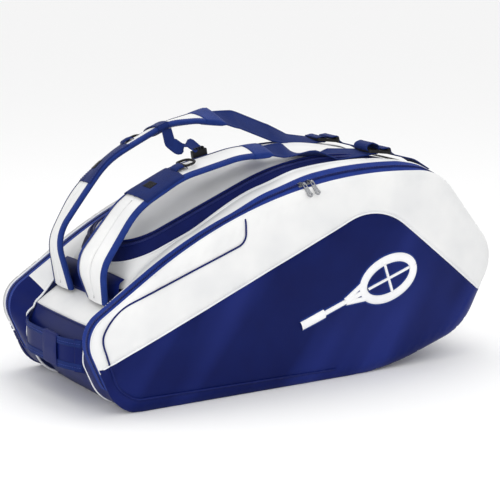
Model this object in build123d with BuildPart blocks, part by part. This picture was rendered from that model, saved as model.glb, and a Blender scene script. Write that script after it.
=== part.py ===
"""Racket tournament bag: two racket-shaped side compartments on a middle compartment.

Millimetres. X runs from the handle end (-X) to the head end (+X), Y from the near side (-Y)
to the far side (+Y), Z up. The origin is under the middle of the bag, on the floor.
"""
import os
from math import acos, atan2, cos, radians, sin, sqrt

from build123d import *

os.makedirs("parts", exist_ok=True)

NEAR = -1
FAR = 1
SIDES = {"near": NEAR, "far": FAR}

# ---------------------------------------------------------------- driving dimensions
WALL = 4.0                # padded skin of the gussets and the middle compartment
FACE_THICK = 11.0         # padded side face
DIVIDER_IN = 96.0         # inner face of each partition, measured from the middle plane
DIVIDER_OUT = 100.0
TAPE_IN = 129.0           # where the white gusset meets the zipper tape
TEETH = 142.0             # the zipper's centre line
TAPE_GAP = 0.2            # half the gap between the two zipper tapes
FACE_IN = 153.0
FACE_OUT = FACE_IN + FACE_THICK
FACE_ROUND = 9.0          # rounding of the face's outer edge
TAPE_THICK = 7.0
GUSSET_THICK = 10.0
TAPE_RISE = 4.0           # how much higher than the face the tapes and the gusset arch
GUSSET_RISE = 14.0
PIPING_RADIUS = 1.6

# Corners of the racket-shaped side outline, in X and Z, and the radius at each of them.
BOTTOM_HANDLE = (-324, 0)
NOSE_HANDLE = (-379, 128)
CROWN = (-54, 339)
SHOULDER_HEAD = (262, 317)
NOSE_HEAD = (380, 171)
CHIN_HEAD = (316, 52)
BOTTOM_HEAD = (154, 0)
OUTLINE_RADII = [60, 44, 760, 90, 61, 90, 500]

# Corners of the middle compartment's side view, which stands above the outline at its top.
MIDDLE_CORNERS = [(-314, 0), (-350, 52), (-338, 120), (-293, 150), (-290, 203), (-282, 230), (60, 368),
                  (280, 313), NOSE_HEAD, CHIN_HEAD, BOTTOM_HEAD]
MIDDLE_RADII = [40, 30, 10, 8, 8, 8, 420, 50, 61, 90, 500]
LID_THICK = 8.0

# Half widths of the middle compartment's lid and of the two tapes of its U-shaped zipper.
LID_HALF = 79.0
LID_TEETH = 87.0
LID_END = -266.0          # handle end of the lid
TAPE_WIDTH = LID_TEETH - LID_HALF

# Straps.
STRAP_INNER = 27.0
STRAP_WIDTH = 66.0
STRAP_THICK = 11.0
LINING_THICK = 3.0
PAD_STACK = STRAP_THICK + LINING_THICK
WEB_WIDTH = 38.0
WEB_THICK = 2.0
STRAP_CORNERS = {
    "near": [(-309, 153), (-328, 218), (-243, 316), (-166, 347), (-55, 366), (6, 367)],
    "far": [(-309, 153), (-327, 240), (-215, 356), (-120, 400), (-26, 414)],
}
STRAP_RADII = {"near": [45, 110, 150, 200], "far": [60, 120, 200]}
WEB_MIDDLE = {"near": 74.0, "far": 76.0}
WEB_CORNERS = {
    "near": [(22.5, 363), (41, 361), (70, 350.5), (108, 349.5), (165, 346.5)],
    "far": [(-9, 411), (30, 398), (84, 367), (124, 349.5), (165, 346.5)],
}
WEB_RADII = {"near": [30, 60, 300], "far": [60, 60, 60]}
ANCHOR_CORNERS = [(218, 337), (264, 326), (292, 308)]
LOCK_START = 168.0        # where each ladder-lock begins, along X
LOCK_LENGTH = 44.0
LOCK_WIDTH = 46.0
LOCK_THICK = 5.0
LOCK_SLOT_WIDTH = 39.0

SLIDER_LENGTH = 12.0
SLIDER_WIDTH = 11.0
SLIDER_HEIGHT = 3.0
PULL_LENGTH = 25.0
PULL_DROP = 45.0          # degrees below level at which a hanging pull lies on the face
HANDLE_HEIGHT = 48.0
HANDLE_Z = 80.0
RING_WIRE = 2.0

parts = {}


def save(name, builder):
    """Label a finished piece and write it as its own STEP file."""
    builder.part.label = name
    export_step(builder.part, f"parts/{name}.step")
    parts[name] = builder.part


def cross_plane(side, inner, outer):
    """Upright plane whose sketches are extruded by outer - inner, on either side of the bag."""
    start = inner if side == NEAR else -outer
    return Plane.XZ.offset(start)


def outline(rise):
    """Corners of the side outline, its arched top raised by the given height."""
    crown = (CROWN[0], CROWN[1] + rise)
    shoulder = (SHOULDER_HEAD[0], SHOULDER_HEAD[1] + rise)
    return [BOTTOM_HANDLE, NOSE_HANDLE, crown, shoulder, NOSE_HEAD, CHIN_HEAD, BOTTOM_HEAD]


def turn_centre(before, corner, after, radius):
    """Centre of the arc that rounds a corner of an outline."""
    back = Vector(*before) - Vector(*corner)
    ahead = Vector(*after) - Vector(*corner)
    middle = (back.normalized() + ahead.normalized()).normalized()
    half_angle = acos(back.normalized().dot(middle))
    return Vector(*corner) + middle * (radius / sin(half_angle))


# Stretches of the outline. Above this line the compartment unzips; below it is the sewn bottom.
UNZIPS = [(-420, 34), (420, 40), (420, 460), (-420, 460)]
SEWN = [(-420, 34), (420, 40), (420, -60), (-420, -60)]


def ring_stretch(corners, radii, thickness, region, side, inner, outer):
    """One stretch of a closed band of even thickness that runs across part of the width."""
    with BuildPart() as band:
        with BuildSketch(cross_plane(side, inner, outer)):
            with BuildLine():
                FilletPolyline(*corners, radius=radii, close=True)
            make_face()
            offset(amount=-thickness, mode=Mode.SUBTRACT)
            with BuildLine():
                Polyline(*region, close=True)
            make_face(mode=Mode.INTERSECT)
        extrude(amount=outer - inner)
    return band


def strip(corners, radii, thickness, low, high, below=True):
    """A flat strip along an open path in the XZ plane, between two values of Y."""
    with BuildPart() as band:
        with BuildSketch(Plane.XZ.offset(-high)):
            with BuildLine():
                FilletPolyline(*corners, radius=radii)
                offset(amount=thickness, side=Side.RIGHT if below else Side.LEFT)
            make_face()
        extrude(amount=high - low)
    return band


# ---------------------------------------------------------------- middle compartment
def middle_panel(name, region):
    """A panel of the middle compartment, cut from its side view."""
    save(name, ring_stretch(MIDDLE_CORNERS, MIDDLE_RADII, WALL, region, FAR, -DIVIDER_IN, DIVIDER_IN))


middle_panel("bottom_panel", [(-312, 40), (-312, -20), (345, -20), (345, 70), (300, 70)])
middle_panel("handle_end_panel", [(-312, 40), (-312, -20), (-400, -20), (-400, 118), (-320, 118)])
middle_panel("handle_end_band", [(-400, 118), (-320, 118), (-280, 146), (-304, 160), (-400, 160)])
middle_panel("strap_base_panel", [(-304, 160), (-280, 146), (-270, 146), (-270, 203), (-330, 203)])
middle_panel("head_end_panel", [(345, 70), (300, 70), (230, 300), (284, 325), (420, 300), (420, 70)])


def divider(side):
    """Padded partition between the middle compartment and a side compartment."""
    with BuildPart() as wall:
        with BuildSketch(cross_plane(side, DIVIDER_IN, DIVIDER_OUT)):
            with BuildLine():
                FilletPolyline(*outline(GUSSET_RISE), radius=OUTLINE_RADII, close=True)
            make_face()
            with BuildLine():
                FilletPolyline(*MIDDLE_CORNERS, radius=MIDDLE_RADII, close=True)
            make_face()
        extrude(amount=DIVIDER_OUT - DIVIDER_IN)
    return wall


for side_name, side in SIDES.items():
    save(f"{side_name}_divider", divider(side))


def plan_shape(half_width, end, radius):
    """Upright block over the plan outline of the lid or of a tape, open towards the head end."""
    with BuildPart() as block:
        with BuildSketch(Plane.XY.offset(150)) as plan:
            with Locations((end, 0)):
                Rectangle(700, 2 * half_width, align=(Align.MIN, Align.CENTER))
            fillet(plan.vertices().group_by(Axis.X)[0], radius=radius)
        extrude(amount=260)
    return block


def top_piece(outer_plan, inner_plan=None):
    """The part of the top slab that lies inside one plan outline and outside another."""
    region = [(-340, 203), (-340, 420), (284, 420), (284, 325), (230, 300), (-250, 203)]
    slab = ring_stretch(MIDDLE_CORNERS, MIDDLE_RADII, LID_THICK, region, FAR, -DIVIDER_IN, DIVIDER_IN)
    with BuildPart() as piece:
        add(slab.part)
        if outer_plan:
            add(plan_shape(*outer_plan).part, mode=Mode.INTERSECT)
        if inner_plan:
            add(plan_shape(*inner_plan).part, mode=Mode.SUBTRACT)
    return piece


LID_PLAN = (LID_HALF, LID_END, 48)
UPPER_TAPE_PLAN = (LID_TEETH - TAPE_GAP, LID_END - TAPE_WIDTH, 56)
LOWER_TAPE_PLAN = (LID_TEETH, LID_END - TAPE_WIDTH - TAPE_GAP, 56)
SHOULDER_PLAN = (DIVIDER_IN - 0.5, LID_END - 2 * TAPE_WIDTH, 64)
save("middle_lid", top_piece(LID_PLAN))
save("lid_zip_tape", top_piece(UPPER_TAPE_PLAN, LID_PLAN))
save("middle_zip_tape", top_piece(SHOULDER_PLAN, LOWER_TAPE_PLAN))
save("handle_end_shoulder", top_piece(None, SHOULDER_PLAN))


# ---------------------------------------------------------------- side compartments
def face_plate(side):
    """The whole padded side face, its outer edge rounded."""
    with BuildPart() as plate:
        with BuildSketch(cross_plane(side, FACE_IN, FACE_OUT)):
            with BuildLine():
                FilletPolyline(*outline(0), radius=OUTLINE_RADII, close=True)
            make_face()
        extrude(amount=FACE_THICK)
        outer_face = plate.faces().sort_by(Axis.Y)[0 if side == NEAR else -1]
        fillet(outer_face.edges(), radius=FACE_ROUND)
    return plate


# Edge of the dark lower panel: up from the handle end, round under the crown, down to the head end.
PANEL_EDGE = [(-420, 47), (141, 279), (420, 53)]
PANEL_EDGE_RADIUS = 104


def lower_face_block(side):
    """Upright block that holds everything below the edge of the dark panel."""
    with BuildPart() as block:
        with BuildSketch(cross_plane(side, FACE_IN - 5, FACE_OUT + 5)):
            with BuildLine():
                FilletPolyline(*PANEL_EDGE, (420, -60), (-420, -60), radius=[PANEL_EDGE_RADIUS, 0, 0])
                Line((-420, -60), PANEL_EDGE[0])
            make_face()
        extrude(amount=FACE_THICK + 10)
    return block


def lower_face(side):
    """The dark glossy lower panel of a side face."""
    with BuildPart() as panel:
        add(face_plate(side).part)
        add(lower_face_block(side).part, mode=Mode.INTERSECT)
    return panel


def upper_face(side):
    """The white upper panel of a side face."""
    with BuildPart() as panel:
        add(face_plate(side).part)
        add(lower_face_block(side).part, mode=Mode.SUBTRACT)
    return panel


def cord_along(corners, radii, plane):
    """A thin round piping cord along a path in the given plane."""
    with BuildPart() as cord:
        with BuildLine(plane) as path:
            FilletPolyline(*corners, radius=radii)
        with BuildSketch(Plane(path.wires()[0] @ 0, z_dir=path.wires()[0] % 0)):
            Circle(PIPING_RADIUS)
        sweep()
    return cord


FACE_PIPING = [(-336, 81.8), (141, 279), (343, 115.4)]
EDGE_PIPING = [(-107, 264), (-101, 244), (-330, 160), (-356, 122), (-330, 40), (-300, 22), (0, 14)]
EDGE_PIPING_RADII = [16, 90, 30, 45, 40]


BADGE_ORIGIN = (112, 138)
BADGE_TILT = 19.0
BADGE_THICK = 3.0
HEAD_CENTRE = 48.0        # middle of the racket's head, along the badge
HEAD_HALF_LENGTH = 58.0
HEAD_HALF_WIDTH = 38.0
FRAME_WIDTH = 15.0        # width of the racket's frame
STRING_WIDTH = 5.0
THROAT_LENGTH = 36.0
SHAFT_WIDTH = 8.5
GRIP_LENGTH = 46.0
GRIP_WIDTH = 15.0


def emblem(side):
    """Raised badge on the face: a plain racket outline, slanted up towards the head end."""
    plane = Plane(origin=(BADGE_ORIGIN[0], side * FACE_OUT, BADGE_ORIGIN[1]),
                  x_dir=(cos(radians(BADGE_TILT)), 0, sin(radians(BADGE_TILT))), z_dir=(0, side, 0))
    grip_middle = HEAD_CENTRE - HEAD_HALF_LENGTH - 2 * THROAT_LENGTH - GRIP_LENGTH / 2
    shaft_length = HEAD_CENTRE - HEAD_HALF_LENGTH + FRAME_WIDTH / 2 - grip_middle
    with BuildPart() as badge:
        with BuildSketch(plane):
            with Locations((HEAD_CENTRE, 0)):
                Ellipse(HEAD_HALF_LENGTH, HEAD_HALF_WIDTH)
                Ellipse(HEAD_HALF_LENGTH - FRAME_WIDTH, HEAD_HALF_WIDTH - FRAME_WIDTH, mode=Mode.SUBTRACT)
                Rectangle(2 * HEAD_HALF_LENGTH - FRAME_WIDTH, STRING_WIDTH)
                Rectangle(STRING_WIDTH, 2 * HEAD_HALF_WIDTH - FRAME_WIDTH)
            with Locations((HEAD_CENTRE - HEAD_HALF_LENGTH - THROAT_LENGTH / 2 + FRAME_WIDTH / 2, 0)):
                Trapezoid(THROAT_LENGTH, SHAFT_WIDTH, 72, rotation=90)
            with Locations((grip_middle, 0)):
                Rectangle(shaft_length, SHAFT_WIDTH, align=(Align.MIN, Align.CENTER))
                RectangleRounded(GRIP_LENGTH, GRIP_WIDTH, 5)
        extrude(amount=BADGE_THICK)
    return badge


for side_name, side in SIDES.items():
    gusset = ring_stretch(outline(GUSSET_RISE), OUTLINE_RADII, GUSSET_THICK, UNZIPS, side, DIVIDER_OUT, TAPE_IN)
    save(f"{side_name}_top_gusset", gusset)
    bottom = ring_stretch(outline(0), OUTLINE_RADII, WALL, SEWN, side, DIVIDER_OUT, FACE_IN - 1)
    save(f"{side_name}_bottom_gusset", bottom)
    inner_tape = ring_stretch(outline(TAPE_RISE), OUTLINE_RADII, TAPE_THICK, UNZIPS, side,
                              TAPE_IN, TEETH - TAPE_GAP)
    save(f"{side_name}_inner_zip_tape", inner_tape)
    outer_tape = ring_stretch(outline(TAPE_RISE), OUTLINE_RADII, TAPE_THICK, UNZIPS, side,
                              TEETH + TAPE_GAP, FACE_IN)
    save(f"{side_name}_outer_zip_tape", outer_tape)
    save(f"{side_name}_upper_face", upper_face(side))
    save(f"{side_name}_lower_face", lower_face(side))
    piping_plane = Plane.XZ.offset(-side * (FACE_OUT + PIPING_RADIUS))
    save(f"{side_name}_panel_piping", cord_along(FACE_PIPING, [PANEL_EDGE_RADIUS], piping_plane))
    save(f"{side_name}_edge_piping", cord_along(EDGE_PIPING, EDGE_PIPING_RADII, piping_plane))
    save(f"{side_name}_badge", emblem(side))


# ---------------------------------------------------------------- zipper sliders
ZIP_OUTLINE = outline(TAPE_RISE)
ARC_CENTRE = turn_centre(ZIP_OUTLINE[1], ZIP_OUTLINE[2], ZIP_OUTLINE[3], OUTLINE_RADII[2])
ARC_RADIUS = OUTLINE_RADII[2]
SLIDER_SEAT = 0.4         # slider's height above the tape


def track_plane(side, along):
    """Plane on a side zipper: local X along the zipper to the head end, local Z away from the bag."""
    angle = atan2(sqrt(ARC_RADIUS**2 - (along - ARC_CENTRE.X)**2), along - ARC_CENTRE.X)
    away = Vector(cos(angle), 0, sin(angle))
    height = ARC_CENTRE.Y + ARC_RADIUS * sin(angle)
    tangent = Vector(sin(angle), 0, -cos(angle))
    return Plane(origin=(along, side * TEETH, height), x_dir=tangent, z_dir=away)


def slider_body(plane, outward, loop_reach=11.0):
    """A zipper slider: base plate, raised bridge, and an eye on its outer side for the pull."""
    with BuildPart(plane) as slider:
        with Locations((0, 0, SLIDER_SEAT)):
            Box(SLIDER_LENGTH, SLIDER_WIDTH, SLIDER_HEIGHT, align=(Align.CENTER, Align.CENTER, Align.MIN))
        fillet(slider.edges().filter_by(Axis((0, 0, 0), plane.z_dir)), radius=3.0)
        with Locations((0, 0, SLIDER_SEAT + SLIDER_HEIGHT)):
            Box(SLIDER_LENGTH - 5, SLIDER_WIDTH - 4, 2.5, align=(Align.CENTER, Align.CENTER, Align.MIN))
        with Locations((0, outward * loop_reach / 2, SLIDER_SEAT + SLIDER_HEIGHT + 1.2)):
            Box(3.0, loop_reach + 2, 2.6, align=(Align.CENTER, Align.CENTER, Align.MIN))
        with Locations((0, outward * loop_reach, SLIDER_SEAT + SLIDER_HEIGHT + 2.5)):
            Cylinder(2.6, 3.0, rotation=(0, 90, 0))
            Cylinder(1.25, 3.0, rotation=(0, 90, 0), mode=Mode.SUBTRACT)
    return slider


def pull_tab(plane, outward, loop_reach=11.0, drop=PULL_DROP):
    """A pull: a pin through the slider's eye, two cheeks beside it and a flat tab that hangs."""
    pivot = plane.from_local_coords(Vector(0, outward * loop_reach, SLIDER_SEAT + SLIDER_HEIGHT + 2.5))
    side_dir = plane.y_dir * outward
    hang = side_dir * cos(radians(drop)) - plane.z_dir * sin(radians(drop))
    local = Plane(origin=pivot, x_dir=hang, z_dir=plane.x_dir)
    with BuildPart(local) as pull:
        Cylinder(1.15, 6.6)
        with Locations((3.2, 0, 2.5), (3.2, 0, -2.5)):
            Box(8.6, 2.2, 1.6)
        with Locations((8.4, 0, 0)):
            Box(3.0, 2.2, 6.6)
        with Locations((15.5, 0, 0)):
            Box(13.0, 1.6, 7.0)
        with Locations((PULL_LENGTH - 4, 0, 0)):
            Cylinder(4.4, 2.4, rotation=(90, 0, 0))
            Cylinder(2.0, 2.4, rotation=(90, 0, 0), mode=Mode.SUBTRACT)
    return pull


SLIDERS = {"left": 5.0, "right": 19.0}
for side_name, side in SIDES.items():
    for slider_name, along in SLIDERS.items():
        plane = track_plane(side, along)
        outward = side * plane.y_dir.Y
        save(f"{side_name}_{slider_name}_slider", slider_body(plane, outward))
        save(f"{side_name}_{slider_name}_pull", pull_tab(plane, outward))

SLOPE = atan2(MIDDLE_CORNERS[6][1] - MIDDLE_CORNERS[5][1], MIDDLE_CORNERS[6][0] - MIDDLE_CORNERS[5][0])
LID_SLIDER_X = LID_END - TAPE_WIDTH
LID_SLIDER_Z = MIDDLE_CORNERS[5][1] + (LID_SLIDER_X - MIDDLE_CORNERS[5][0]) * sin(SLOPE) / cos(SLOPE)
LID_PLANE = Plane(origin=(LID_SLIDER_X, 0, LID_SLIDER_Z), x_dir=(0, 1, 0), z_dir=(-sin(SLOPE), 0, cos(SLOPE)))
LID_OUTWARD = -1 if LID_PLANE.y_dir.X > 0 else 1
save("middle_slider", slider_body(LID_PLANE, LID_OUTWARD))
save("middle_pull", pull_tab(LID_PLANE, LID_OUTWARD))


# ---------------------------------------------------------------- shoulder straps
def path_edge(corners, radii):
    """The open path of a strap, as one wire in the XZ plane."""
    with BuildLine(Plane.XZ) as path:
        FilletPolyline(*corners, radius=radii)
    return path.wires()[0]


def strap_plane(side_name, along, width_centre):
    """Plane on top of a strap where its X is along: local X to the head end, local Z up off it."""
    wire = path_edge(STRAP_CORNERS[side_name], STRAP_RADII[side_name])
    low, high = 0.3, 1.0
    for _ in range(30):
        share = (low + high) / 2
        if wire.position_at(share).X < along:
            low = share
        else:
            high = share
    point = wire.position_at(share)
    ahead = wire.tangent_at(share)
    up = Vector(-ahead.Z, 0, ahead.X)
    return Plane(origin=(point.X, width_centre, point.Z), x_dir=ahead, z_dir=up)


STRAP_CENTRE = STRAP_INNER + STRAP_WIDTH / 2
PATCH_SPAN = {"near": (-238, -172), "far": (-263, -197)}
PATCH_THICK = 1.6
TAB_X = {"near": -164.0, "far": -189.0}
CAP_LENGTH = 14.0
CAP_WIDTH = 60.0


def strap_pad(side_name, side):
    """The padded upper layer of a shoulder strap."""
    low = STRAP_INNER if side == FAR else -STRAP_INNER - STRAP_WIDTH
    return strip(STRAP_CORNERS[side_name], STRAP_RADII[side_name], STRAP_THICK, low, low + STRAP_WIDTH)


def strap_lining(side_name, side):
    """The mesh lining under the pad, the same path one pad thickness lower."""
    low = STRAP_INNER if side == FAR else -STRAP_INNER - STRAP_WIDTH
    with BuildPart() as lining:
        with BuildSketch(Plane.XZ.offset(-low - STRAP_WIDTH)):
            with BuildLine():
                FilletPolyline(*STRAP_CORNERS[side_name], radius=STRAP_RADII[side_name])
                offset(amount=STRAP_THICK + LINING_THICK, side=Side.RIGHT)
            make_face()
            with BuildLine():
                FilletPolyline(*STRAP_CORNERS[side_name], radius=STRAP_RADII[side_name])
                offset(amount=STRAP_THICK, side=Side.RIGHT)
            make_face(mode=Mode.SUBTRACT)
        extrude(amount=STRAP_WIDTH)
    return lining


def strap_patch(side_name, side):
    """The woven patch sewn over the strap, ending in a folded tab with a tunnel for the D-ring."""
    low = STRAP_INNER if side == FAR else -STRAP_INNER - STRAP_WIDTH
    start, end = PATCH_SPAN[side_name]
    layer = strip(STRAP_CORNERS[side_name], STRAP_RADII[side_name], PATCH_THICK, low, low + STRAP_WIDTH,
                  below=False)
    tab_plane = strap_plane(side_name, TAB_X[side_name], side * STRAP_CENTRE)
    with BuildPart() as patch:
        add(layer.part)
        with Locations((start, low + STRAP_WIDTH / 2, 320)):
            Box(end - start, STRAP_WIDTH + 2, 200, align=(Align.MIN, Align.CENTER, Align.CENTER),
                mode=Mode.INTERSECT)
        with Locations(tab_plane):
            Box(18, 24, 6.4, align=(Align.CENTER, Align.CENTER, Align.MIN))
            with Locations((3.5, 0, 3.2)):
                Cylinder(RING_WIRE + 0.25, 24, rotation=(90, 0, 0), mode=Mode.SUBTRACT)
    return patch


def d_ring(plane):
    """A wire D-ring whose straight bar runs through the tab; it lies on the strap."""
    ring_plane = Plane(origin=plane.from_local_coords(Vector(3.5, 0, 3.2)), x_dir=plane.x_dir, z_dir=plane.z_dir)
    with BuildPart() as ring:
        with BuildLine(ring_plane) as path:
            FilletPolyline((0, -16), (0, 16), (20, 16), (20, -16), radius=[4, 4, 11, 11], close=True)
        start = path.wires()[0]
        with BuildSketch(Plane(start @ 0, z_dir=start % 0)):
            Circle(RING_WIRE)
        sweep(path=start)
    return ring


def strap_cap(side_name, side):
    """The folded cap over the upper end of a strap, where the webbing comes out."""
    end_x = STRAP_CORNERS[side_name][-1][0]
    with BuildPart(strap_plane(side_name, end_x, side * STRAP_CENTRE)) as cap:
        with Locations((0.2, 0, 0.5)):
            Box(CAP_LENGTH, CAP_WIDTH, PAD_STACK, align=(Align.MIN, Align.CENTER, Align.MAX))
    return cap


def ladder_lock(plane):
    """A ladder-lock buckle: a flat frame with two slots and a raised, ribbed lip."""
    with BuildPart(plane) as lock:
        with BuildSketch(plane):
            with Locations((LOCK_LENGTH / 2, 0)):
                RectangleRounded(LOCK_LENGTH, LOCK_WIDTH, 5)
            with Locations((9, 0)):
                Rectangle(8, LOCK_SLOT_WIDTH, mode=Mode.SUBTRACT)
            with Locations((29, 0)):
                Rectangle(10, LOCK_SLOT_WIDTH, mode=Mode.SUBTRACT)
        extrude(amount=LOCK_THICK)
        with Locations((LOCK_LENGTH - 3, 0, LOCK_THICK)):
            Box(6, LOCK_WIDTH - 8, 4, align=(Align.CENTER, Align.CENTER, Align.MIN))
        with Locations((18, 0, LOCK_THICK)):
            Box(3, LOCK_WIDTH - 8, 1.2, align=(Align.CENTER, Align.CENTER, Align.MIN))
    return lock


LOCK_TILT = -8.0
for side_name, side in SIDES.items():
    save(f"{side_name}_strap_pad", strap_pad(side_name, side))
    save(f"{side_name}_strap_lining", strap_lining(side_name, side))
    save(f"{side_name}_strap_patch", strap_patch(side_name, side))
    save(f"{side_name}_strap_cap", strap_cap(side_name, side))
    save(f"{side_name}_d_ring", d_ring(strap_plane(side_name, TAB_X[side_name], side * STRAP_CENTRE)))
    web_low = side * WEB_MIDDLE[side_name] - WEB_WIDTH / 2
    save(f"{side_name}_webbing", strip(WEB_CORNERS[side_name], WEB_RADII[side_name], WEB_THICK,
                                       web_low, web_low + WEB_WIDTH))
    lock_plane = Plane(origin=(LOCK_START, side * WEB_MIDDLE[side_name], 347),
                       x_dir=(cos(radians(LOCK_TILT)), 0, sin(radians(LOCK_TILT))),
                       z_dir=(-sin(radians(LOCK_TILT)), 0, cos(radians(LOCK_TILT))))
    save(f"{side_name}_ladder_lock", ladder_lock(lock_plane))
    save(f"{side_name}_anchor_webbing", strip(ANCHOR_CORNERS, [40], WEB_THICK, web_low, web_low + WEB_WIDTH))


# ---------------------------------------------------------------- sternum strap
LOOP_X = -139.0
LOOP_WIDTH = 20.0
loop_plane = strap_plane("far", LOOP_X, STRAP_CENTRE)
with BuildPart(loop_plane) as sternum_loop:
    with Locations((0, 0, 3)):
        Box(LOOP_WIDTH, STRAP_WIDTH + 5, PAD_STACK + 6, align=(Align.CENTER, Align.CENTER, Align.MAX))
    with Locations((0, 0, 1)):
        Box(LOOP_WIDTH, STRAP_WIDTH + 1, PAD_STACK + 2, align=(Align.CENTER, Align.CENTER, Align.MAX),
            mode=Mode.SUBTRACT)
save("sternum_loop", sternum_loop)

COMB_X = -108.0           # middle of the comb buckle, along the near strap
STERNUM_THICK = 3.0
STERNUM_FROM_Y = 23.0
STERNUM_TO_Y = -19.0
with BuildPart() as sternum_webbing:
    with BuildSketch(Plane.YZ.offset(LOOP_X - LOOP_WIDTH)):
        with BuildLine():
            FilletPolyline((STERNUM_FROM_Y, 379), (6, 370), (STERNUM_TO_Y, 362), radius=[18])
            offset(amount=STERNUM_THICK, side=Side.LEFT)
        make_face()
    extrude(amount=COMB_X - LOOP_X + 2 * LOOP_WIDTH)
    with BuildSketch(Plane.XY.offset(340)):
        with BuildLine():
            Polyline((LOOP_X - LOOP_WIDTH / 2, STERNUM_FROM_Y + 3), (LOOP_X + LOOP_WIDTH / 2, STERNUM_FROM_Y + 3),
                     (COMB_X + LOOP_WIDTH / 2, STERNUM_TO_Y - 3), (COMB_X - LOOP_WIDTH / 2, STERNUM_TO_Y - 3),
                     close=True)
        make_face()
    extrude(amount=60, mode=Mode.INTERSECT)
save("sternum_webbing", sternum_webbing)

COMB_RISE = 8.0           # top of the comb's bar above the strap
COMB_LENGTH = 26.0
COMB_WIDTH = 7.0
COMB_DEPTH = 26.0
TOOTH_HEIGHT = 4.0
TOOTH_WIDTH = 2.4
TOOTH_PITCH = 5.0
buckle_plane = strap_plane("near", COMB_X, -STRAP_INNER + 4)
with BuildPart(buckle_plane) as sternum_buckle:
    with Locations((0, 0, COMB_RISE)):
        Box(COMB_LENGTH, COMB_WIDTH, COMB_DEPTH, align=(Align.CENTER, Align.CENTER, Align.MAX))
    with GridLocations(TOOTH_PITCH, 1, 4, 1):
        with Locations((0, 0, COMB_RISE)):
            Box(TOOTH_WIDTH, COMB_WIDTH, TOOTH_HEIGHT, align=(Align.CENTER, Align.CENTER, Align.MIN))
save("sternum_buckle", sternum_buckle)


# ---------------------------------------------------------------- grab handle
HANDLE_REACH = 94.0
with BuildPart() as grab_handle:
    with BuildSketch(Plane.XY.offset(HANDLE_Z - HANDLE_HEIGHT / 2)):
        with BuildLine():
            FilletPolyline((-355.5, HANDLE_REACH), (-362, 60), (-362, -60), (-355.5, -HANDLE_REACH),
                           radius=[120, 120])
            offset(amount=3, side=Side.RIGHT)
        make_face()
    extrude(amount=HANDLE_HEIGHT)
save("grab_handle", grab_handle)

with BuildPart(Plane(origin=(-363.5, -24, HANDLE_Z), x_dir=(0, 1, 0), z_dir=(-1, 0, 0))) as handle_wrap:
    Box(46, HANDLE_HEIGHT + 6, 6.4)
    Box(46, HANDLE_HEIGHT + 0.6, 3.4, mode=Mode.SUBTRACT)
save("handle_wrap", handle_wrap)

print(len(parts), "parts")
print("arc centre", ARC_CENTRE, "radius", ARC_RADIUS)
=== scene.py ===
"""Looks of the racket tournament bag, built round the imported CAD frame.

Lengths here are millimetres, as in the CAD source; meshes are made in metres.
X runs from the handle end (-X) to the head end (+X), -Y is the near side, Z is up.
"""
import math

import bmesh
import bpy
import numpy as np
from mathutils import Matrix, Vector, geometry


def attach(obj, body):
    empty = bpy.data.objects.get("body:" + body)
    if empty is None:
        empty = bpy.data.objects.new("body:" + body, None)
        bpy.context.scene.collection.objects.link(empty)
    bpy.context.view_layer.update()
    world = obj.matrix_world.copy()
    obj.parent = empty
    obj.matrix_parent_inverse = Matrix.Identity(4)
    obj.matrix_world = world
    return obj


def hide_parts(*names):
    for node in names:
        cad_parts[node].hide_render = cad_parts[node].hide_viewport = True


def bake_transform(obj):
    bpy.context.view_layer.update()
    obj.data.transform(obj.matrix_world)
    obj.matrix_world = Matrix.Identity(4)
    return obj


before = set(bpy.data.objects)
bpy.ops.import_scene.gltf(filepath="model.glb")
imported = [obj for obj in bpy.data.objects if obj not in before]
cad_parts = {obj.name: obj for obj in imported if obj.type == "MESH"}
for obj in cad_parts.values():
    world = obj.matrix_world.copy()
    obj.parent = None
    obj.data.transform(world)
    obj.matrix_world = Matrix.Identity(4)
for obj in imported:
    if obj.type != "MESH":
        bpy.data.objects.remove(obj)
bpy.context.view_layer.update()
MM = 0.001

NEAR, FAR = -1, 1
SIDES = {"near": NEAR, "far": FAR}

# ------------------------------------------------------------------ sizes shared with the CAD
OUTLINE = [(-324, 0), (-379, 128), (-54, 339), (262, 317), (380, 171), (316, 52), (154, 0)]
OUTLINE_RADII = [60, 44, 760, 90, 61, 90, 500]
MIDDLE_TOP = [(-300, 222.7), (60, 368), (284, 312)]
MIDDLE_TOP_RADIUS = 420
SEAM_Y = 100.0            # seam between a side compartment and the middle one
TAPE_Y = 129.0            # inner edge of the zipper tape
FACE_Y = 153.0            # where the tape meets the padded face
FACE_ROUND = 15.0         # width of the rolled border of the face
FACE_DEPTH = 11.0         # how far that border rolls out
FACE_DOME = 4.0           # rise of the middle of the face over its border
FACE_SWELL = 4.5          # how far the padded border swells out past the rim


# ------------------------------------------------------------------ curves
def rounded(corners, radii, closed=False, step=4.0):
    """Points along straight runs and tangent arcs through the given corners."""
    pts = [np.array(p, float) for p in corners]
    count = len(pts)
    line = []
    for i, corner in enumerate(pts):
        if not closed and i in (0, count - 1):
            line.append(corner[None])
            continue
        radius = radii[i] if closed else radii[i - 1]
        back = pts[i - 1] - corner
        ahead = pts[(i + 1) % count] - corner
        back = back / np.linalg.norm(back)
        ahead = ahead / np.linalg.norm(ahead)
        half = math.acos(np.clip(back @ ahead, -1, 1)) / 2
        reach = radius / math.tan(half)
        middle = (back + ahead) / np.linalg.norm(back + ahead)
        centre = corner + middle * radius / math.sin(half)
        start, end = corner + back * reach, corner + ahead * reach
        turn = math.pi - 2 * half
        pieces = max(3, int(radius * turn / step))
        a, b = start - centre, end - centre
        share = np.linspace(0, 1, pieces + 1)[:, None]
        arc = (np.sin((1 - share) * turn) * a + np.sin(share * turn) * b) / math.sin(turn)
        line.append(centre + arc)
    if closed:
        line.append(line[0][:1])
    return np.vstack(line)


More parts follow.
